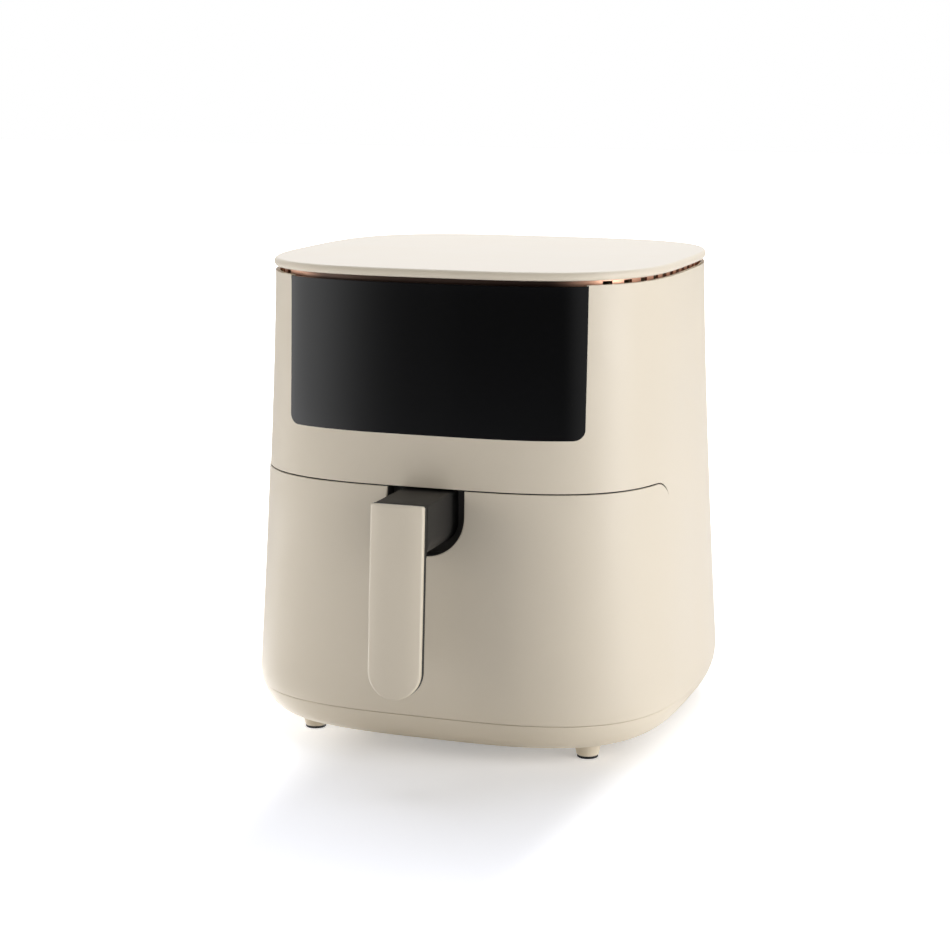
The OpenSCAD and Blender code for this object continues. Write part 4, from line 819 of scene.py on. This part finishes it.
# ---------------------------------------------------------------- lid and vent ring
def slotted_wall(solid, inset, thick, z0, z1, s0, s1, slots=56, slot_w=7.0):
    """Wall along the housing's plan with a row of slots from s0 to s1, but none over the touch panel."""
    angles, is_slot = [], []
    for i in range(slots):
        a = 2 * math.pi * (i + 0.5) / slots
        x, y = squircle(a, inset)
        h = math.asin(slot_w / 2 / math.hypot(x, y))
        angles += [a - h, a - h / 3, a + h / 3, a + h, a + math.pi / slots]
        is_slot += [abs(a - 1.5 * math.pi) > math.pi / 4] * 3 + [False] * 2
    t = np.array(angles)
    sides = []
    for off, side in ((0.0, 1), (thick, -1)):
        x, y = squircle(t, inset + off)
        a, b = WIDTH / 2 - inset - off, DEPTH / 2 - inset - off
        nx = np.sign(x) * np.abs(x / a) ** (SQUARE - 1) / a
        ny = np.sign(y) * np.abs(y / b) ** (SQUARE - 1) / b
        n = np.stack([nx, ny, 0 * nx], -1) / np.hypot(nx, ny)[:, None] * side
        sides.append((np.stack([x, y], -1), n))
    outer, inner = sides[0][0], sides[1][0]
    for j in range(len(t)):
        k = (j + 1) % len(t)
        for low_z, high_z in ((z0, s0), (s1, z1)) if is_slot[j] else ((z0, z1),):
            if high_z <= low_z:
                continue
            for p, n in sides:
                quad = [(*p[j], low_z), (*p[k], low_z), (*p[k], high_z), (*p[j], high_z)]
                solid.add(quad, [n[j], n[k], n[k], n[j]], [(0, 1, 2, 3)])
            for z, up in ((low_z, -1), (high_z, 1)):
                quad = [(*outer[j], z), (*outer[k], z), (*inner[k], z), (*inner[j], z)]
                solid.add(quad, UP * up, [(0, 1, 2, 3)])
        along = np.array([*(outer[k] - outer[j]), 0.0])
        for col, sign, ends in ((j, 1, is_slot[j - 1]), (k, -1, is_slot[k])):
            if is_slot[j] and not ends:
                quad = [(*outer[col], s0), (*outer[col], s1), (*inner[col], s1), (*inner[col], s0)]
                solid.add(quad, along * sign, [(0, 1, 2, 3)])
    return solid


ring_inset = TOP_INSET + 5
ring_foot = RIM - 6
vents = slotted_wall(Solid(), ring_inset, 1.8, ring_foot, LID, ring_foot + 3, LID - 1)
flange, flange_top = TOP_INSET + WALL + GAP, ring_foot + 1.5
vents.sweep(HOUSING, profile([
    (-ring_inset - 1, ring_foot, 0), (-flange, ring_foot, 0),
    (-flange, flange_top, 0.4), (-ring_inset, flange_top, 0),
]))
piece(vents, "vent_ring_slotted", "body", "copper_trim", "vent_ring")

lid = Solid()
lid_inset, lid_mid, lid_half, lid_edge = TOP_INSET - 0.7, (LID + TOP) / 2, (TOP - LID) / 2, 2
edge = []
for a in np.radians(np.linspace(-90, 90, 17)):
    n = np.array([lid_half * math.cos(a), lid_edge * math.sin(a)])
    n /= np.linalg.norm(n)
    edge.append((-lid_inset - lid_edge * (1 - math.cos(a)), lid_mid + lid_half * math.sin(a), *n))
lid.sweep(HOUSING, [edge])
lid.cap(HOUSING, -lid_inset - lid_edge, TOP, 1)
lid.cap(HOUSING, -lid_inset - lid_edge, LID, -1)
slotted_wall(lid, ring_inset + 2.05, 2.0, LID - 5, LID, LID - 5, LID)
piece(lid, "lid_plate", "body", "cream_plastic", "top_cover")

# ---------------------------------------------------------------- handle
TO_HANDLE = (
    Matrix.Translation((0, HANDLE_Y, GRIP_Z))
    @ Matrix.Rotation(-HANDLE_TILT, 4, "X")
    @ Matrix.Rotation(math.radians(90), 4, "X")
)
FACE = REACH - COVER


def cover_at(u, v, depth):
    """Face of the grip's cover, which is crowned across, with a flat back."""
    fall = CROWN * np.abs(2 * u / GRIP_W) ** 2.6
    return np.stack([u, v, REACH - fall * (1 - depth / COVER) - depth], -1)


rim, _ = tab(GRIP_W, GRIP_L, GRIP_W / 2, 1.6, 20)(0)
rim = np.concatenate([line(a, b, 4) for a, b in zip(rim, np.roll(rim, -1, 0)) if np.hypot(*(b - a)) > 1e-6])
cover = plate(cover_at, [(oriented(rim, 1), True)], COVER - HAIR, 1.25, 3.0)
piece(cover.moved(TO_HANDLE), "grip_cover", "drawer", "cream_plastic", "handle_cover")

core = Solid()
outline = tab(GRIP_W, GRIP_L, GRIP_W / 2, 1.0, 16)
core.sweep(outline, profile([(-1.0, FACE - SLAB, 0), (0, FACE - SLAB, 0.95), (0, FACE, 0)]))
core.cap(outline, -1.0, FACE - SLAB, -1)
core.cap(outline, 0, FACE, 1)


def arm_ring(out, s):
    """Section of the arm at a distance along it; s goes from 0 on the arm to 1 at the back of the grip."""
    ring = tab(GRIP_W - HAIR, ARM_H + ARM_FILLET * s, ARM_R + (GRIP_W / 2 - ARM_R) * s - HAIR, 1.3, 14)
    p, _ = ring(0)
    level = (FACE - SLAB - out) * math.tan(HANDLE_TILT)
    return np.column_stack([p + [0, level], np.full(len(p), out)])


start = FACE - SLAB - ARM_FILLET
rings = [arm_ring(-16, 0), arm_ring(start - 1, 0)]
for a in np.radians(np.linspace(0, 90, 19)):
    rings.append(arm_ring(start + ARM_FILLET * math.sin(a), 1 - math.cos(a)))
core.loft(rings)
core.moved(TO_HANDLE)
core.v = [np.column_stack([v[:, 0], np.minimum(v[:, 1], POCKET_BACK - HAIR), v[:, 2]]) for v in core.v]
piece(core, "grip_core", "drawer", "charcoal_plastic", "handle_core")


def pocket():
    """The dark pocket round the arm: a U-shaped wall with a back."""
    solid = Solid()
    z1, w = FRONT_TOP, POCKET_W / 2
    zc = DRAWER_TOP - POCKET_H + POCKET_R

    def u_shape(out):
        """The pocket's outline seen from the front, moved out, with its normals."""
        r, x = POCKET_R + out, w - POCKET_R
        left = line((-w - out, z1), (-w - out, zc), 5)
        a = bend(-x, zc, r, 180, 270, 14)
        b = bend(x, zc, r, 270, 360, 14)
        right = line((w + out, zc), (w + out, z1), 5)
        p = np.concatenate([left, a, b, right, [[w + out, z1]]])
        d = np.gradient(p, axis=0)
        n = np.stack([-d[:, 1], d[:, 0]], -1)
        return p, n / np.linalg.norm(n, axis=1)[:, None]

    def rows(p, y):
        """The outline's points at a depth of y."""
        return np.column_stack([p[:, 0], np.broadcast_to(y, len(p)), p[:, 1]])

    inner, n_in = u_shape(0.2)
    outer, _ = u_shape(1.8)
    y_front = WALL - PROUD + 0.5 - depth_at(np.full(len(inner), w), inner[:, 1])
    normal = np.column_stack([n_in[:, 0], np.zeros(len(inner)), n_in[:, 1]])
    solid.grid(np.array([rows(inner, y_front), rows(inner, POCKET_BACK)]), np.array([normal, normal]), False)
    solid.grid(np.array([rows(outer, y_front), rows(outer, INNER_Y)]), np.array([-normal, -normal]), False)
    front = np.array([[0.0, -1.0, 0.0]] * len(inner))
    solid.grid(np.array([rows(inner, y_front), rows(outer, y_front)]), np.array([front, front]), False)
    solid.add(rows(inner, POCKET_BACK), np.array([0.0, -1.0, 0.0]), [list(range(len(inner)))])
    solid.add(rows(outer, INNER_Y), np.array([0.0, 1.0, 0.0]), [list(range(len(outer)))])
    for k in (0, -1):
        solid.add([
            (inner[k, 0], y_front[k], z1), (outer[k, 0], y_front[k], z1),
            (outer[k, 0], INNER_Y, z1), (inner[k, 0], INNER_Y, z1),
        ], UP, [(0, 1, 2, 3)])
    solid.add([
        (inner[0, 0], POCKET_BACK, z1), (inner[-1, 0], POCKET_BACK, z1),
        (inner[-1, 0], INNER_Y, z1), (inner[0, 0], INNER_Y, z1),
    ], UP, [(0, 1, 2, 3)])
    return solid


# Painted light: the pocket is charcoal plastic given a lighter colour, for light inside the recess
piece(pocket(), "grip_pocket", "drawer", "charcoal_plastic", "handle_pocket", finish="pocket_charcoal_painted_light")

# ---------------------------------------------------------------- mains inlet bushing
gland = Solid()
gland.sweep(circle(48), profile([
    (3.75, 130.94, 0.3), (8, 130.94, 0.3), (8, 134.7, 0.2), (6.5, 134.7, 0.1), (6.5, 139.34, 0.1),
    (9, 139.34, 0.2), (9, 143.7, 0.9), (6.5, 143.7, 0.2), (6.5, 144.48, 0.5), (3.75, 144.48, 0.6),
], closed=True))
gland.moved(Matrix.Translation((INLET_X, 0, INLET_Z)) @ Matrix.Rotation(math.radians(-90), 4, "X"))
piece(gland, "inlet_bushing", "body", "charcoal_plastic", "cord_gland")

# ---------------------------------------------------------------- pan, crisper plate and its feet
pan = Solid()
outline = rectangle(222, 208, 40, 14)
rim_foot = PAN_H - 1.5
pan.sweep(outline, profile([
    (-15, 0, 0), (-4, 0, 9), (0, rim_foot, 0.6), (3, rim_foot, 0.7), (3, PAN_H, 0.7), (-1.6, PAN_H, 0.7),
    (-5.6, 1.6, 7.4), (-15, 1.6, 0),
], steps=8))
pan.cap(outline, -15, 0, -1)
pan.cap(outline, -15, 1.6, 1)
piece(pan.moved(Matrix.Translation((0, BAY_Y, PAN_Z))), "pan_pressed", "drawer", "pan_coating", "pan")


def crisper():
    """The plate with its round holes, which leave its edge and its feet free."""
    w, d, r, hole, pitch = PLATE_W, PLATE_D, PLATE_R, 3.6, 18.0
    edge_in, foot, web = hole + 8, 7.5, 1.0
    p, _ = rectangle(w, d, r, 12)(0)
    chains = [(oriented(np.concatenate([line(a, b, 8) for a, b in zip(p, np.roll(p, -1, 0))]), 1), True)]
    nx, ny = int((w / 2 - edge_in) // pitch), int((d / 2 - edge_in) // pitch)
    t = np.radians(np.arange(0, 360, 18))
    for i in range(-nx, nx + 1):
        for j in range(-ny, ny + 1):
            x, y = i * pitch, j * pitch
            rr = r - edge_in / 2
            cx = max(0, abs(x) - (w / 2 - edge_in - rr))
            cy = max(0, abs(y) - (d / 2 - edge_in - rr))
            from_foot = math.hypot(abs(x) - BUMPER_X, abs(y) - BUMPER_Y)
            if math.hypot(cx, cy) <= rr and from_foot > foot + hole + web:
                c = np.stack([x + hole * np.cos(t), y + hole * np.sin(t)], -1)
                chains.append((oriented(c, -1), True))

    def at(u, v, depth):
        return np.stack([u, v + BAY_Y, np.full(np.shape(u), PLATE_Z + PLATE_T) - depth], -1)

    return plate(at, chains, PLATE_T, 0.45, 12.0)


piece(crisper(), "crisper_plate_pressed", "plate", "pan_coating", "crisper_plate")

bumpers = Solid()
bumpers.sweep(circle(40), profile([(6, 39.3, 0), (7, 39.3, 0.8), (7, 53.98, 0.3), (4, 53.98, 0)]))
bumpers.sweep(circle(40), profile([(4, 56.02, 0), (6.5, 56.02, 0.2), (6.5, 57.98, 0.9), (3, 57.98, 0)]))
bumpers.cap(circle(40), 6, 39.3, -1)
bumpers.cap(circle(40), 3, 57.98, 1)
bumpers.copies([(sx * BUMPER_X, BAY_Y + sy * BUMPER_Y, 0) for sx, sy in CORNERS])
piece(bumpers, "crisper_bumpers", "plate", "silicone", "plate_bumpers")

# ---------------------------------------------------------------- finishes on the CAD nodes that stay visible
for part in frame["record"]["subparts"]:
    for held in frame["nodes"][part["node"]].material_slots:
        held.material = FINISHES[part["material_slot"]]

# ---------------------------------------------------------------- floor, background and lights
def studio_sides(tree, way):
    """Brightness of the studio's front half, as mirror-like surfaces see it, by the direction."""
    left = ramp(tree, way.outputs["X"], -0.9, -0.28, 2.7, 0.0)
    right = ramp(tree, way.outputs["X"], 0.42, 0.74, 0.0, 0.8)
    front = ramp(tree, way.outputs["Y"], 0.0, 0.4, 1.0, 0.0)
    return combine(tree, "MULTIPLY", combine(tree, "ADD", left, right), front)


def floor_finish():
    """White floor. It glows for the camera, more so far off and at the sides, and for glossy surfaces."""
    m = finish_of("floor_white", (0.94, 0.93, 0.915), 0.9, grain=30, bump=0.0, tint=0.002, specular=0.1)
    tree = m.node_tree
    link = tree.links.new
    place = node(tree, "ShaderNodeTexCoord").outputs["Object"]
    path = node(tree, "ShaderNodeLightPath")
    far = node(tree, "ShaderNodeVectorMath", operation="LENGTH")
    link(place, far.inputs[0])
    way = node(tree, "ShaderNodeVectorMath", operation="NORMALIZE")
    link(place, way.inputs[0])
    split = node(tree, "ShaderNodeSeparateXYZ")
    link(way.outputs["Vector"], split.inputs[0])
    spot = node(tree, "ShaderNodeSeparateXYZ")
    link(place, spot.inputs[0])
    left = ramp(tree, spot.outputs["X"], -0.12, -0.04, 0.42, 0.0)
    right = ramp(tree, spot.outputs["X"], 0.105, 0.15, 0.0, 0.35)
    away = ramp(tree, far.outputs["Value"], 0.24, 0.70, 0.30, 1.0)
    glow = combine(tree, "ADD", away, combine(tree, "ADD", left, right))
    seen = combine(tree, "MULTIPLY", path.outputs["Is Camera Ray"], glow)
    mirrored = combine(tree, "MULTIPLY", path.outputs["Is Glossy Ray"], studio_sides(tree, split))
    shader = tree.nodes["Principled BSDF"]
    shader.inputs["Emission Color"].default_value = (1, 1, 1, 1)
    link(combine(tree, "ADD", seen, mirrored), shader.inputs["Emission Strength"])
    return m


floor_mesh = bpy.data.meshes.new("floor")
floor_mesh.from_pydata([(-8, -8, 0), (8, -8, 0), (8, 8, 0), (-8, 8, 0)], [], [(0, 1, 2, 3)])
floor = bpy.data.objects.new("floor", floor_mesh)
bpy.context.scene.collection.objects.link(floor)
floor.data.materials.append(floor_finish())

world = bpy.data.worlds.new("world")
bpy.context.scene.world = world
world.use_nodes = True
tree = world.node_tree
link = tree.links.new
background = tree.nodes["Background"]
background.inputs["Color"].default_value = (1, 1, 1, 1)
path = node(tree, "ShaderNodeLightPath")
# Mirror-like surfaces see a white studio behind the object and to its sides, and a dim room in front of it
way = node(tree, "ShaderNodeSeparateXYZ")
link(node(tree, "ShaderNodeTexCoord").outputs["Generated"], way.inputs[0])
behind = ramp(tree, way.outputs["Y"], -0.55, 0.25, 0.06, 1.0)
studio = combine(tree, "MAXIMUM", behind, studio_sides(tree, way))
sharp = combine(tree, "MAXIMUM", path.outputs["Is Glossy Ray"], path.outputs["Is Transmission Ray"])
plain = node(tree, "ShaderNodeMix", data_type="FLOAT")
plain.inputs["A"].default_value = AMBIENT
link(sharp, plain.inputs["Factor"])
link(studio, plain.inputs["B"])
seen = node(tree, "ShaderNodeMix", data_type="FLOAT")
link(path.outputs["Is Camera Ray"], seen.inputs["Factor"])
link(plain.outputs["Result"], seen.inputs["A"])
seen.inputs["B"].default_value = 1.0
link(seen.outputs["Result"], background.inputs["Strength"])


def softbox(name, turn, lift, away, size, level, color=(1, 1, 1), mirrored=True):
    """Square area light at a bearing from the front, towards +X, with about this level on what faces it."""
    a, e = math.radians(turn), math.radians(lift)
    way = Vector((math.sin(a) * math.cos(e), -math.cos(a) * math.cos(e), math.sin(e)))
    data = bpy.data.lights.new(name, "AREA")
    data.size = size
    data.energy = level * math.pi * math.pi * away * away
    data.color = color
    o = bpy.data.objects.new(name, data)
    bpy.context.scene.collection.objects.link(o)
    o.location = Vector((0, SHIFT * MM, 0.16)) + way * away
    o.rotation_euler = way.to_track_quat("Z", "Y").to_euler()
    o.visible_glossy = mirrored
    return o


softbox("right_box", 80, 12, 2.2, 1.3, 0.59, (0.98, 0.985, 1.03))
softbox("left_box", -52, 10, 2.2, 1.5, 0.25, (1.01, 0.99, 1.0), mirrored=False)
softbox("top_box", 199.6, 62, 2.6, 2.2, 0.88, (0.945, 1.0, 1.17))
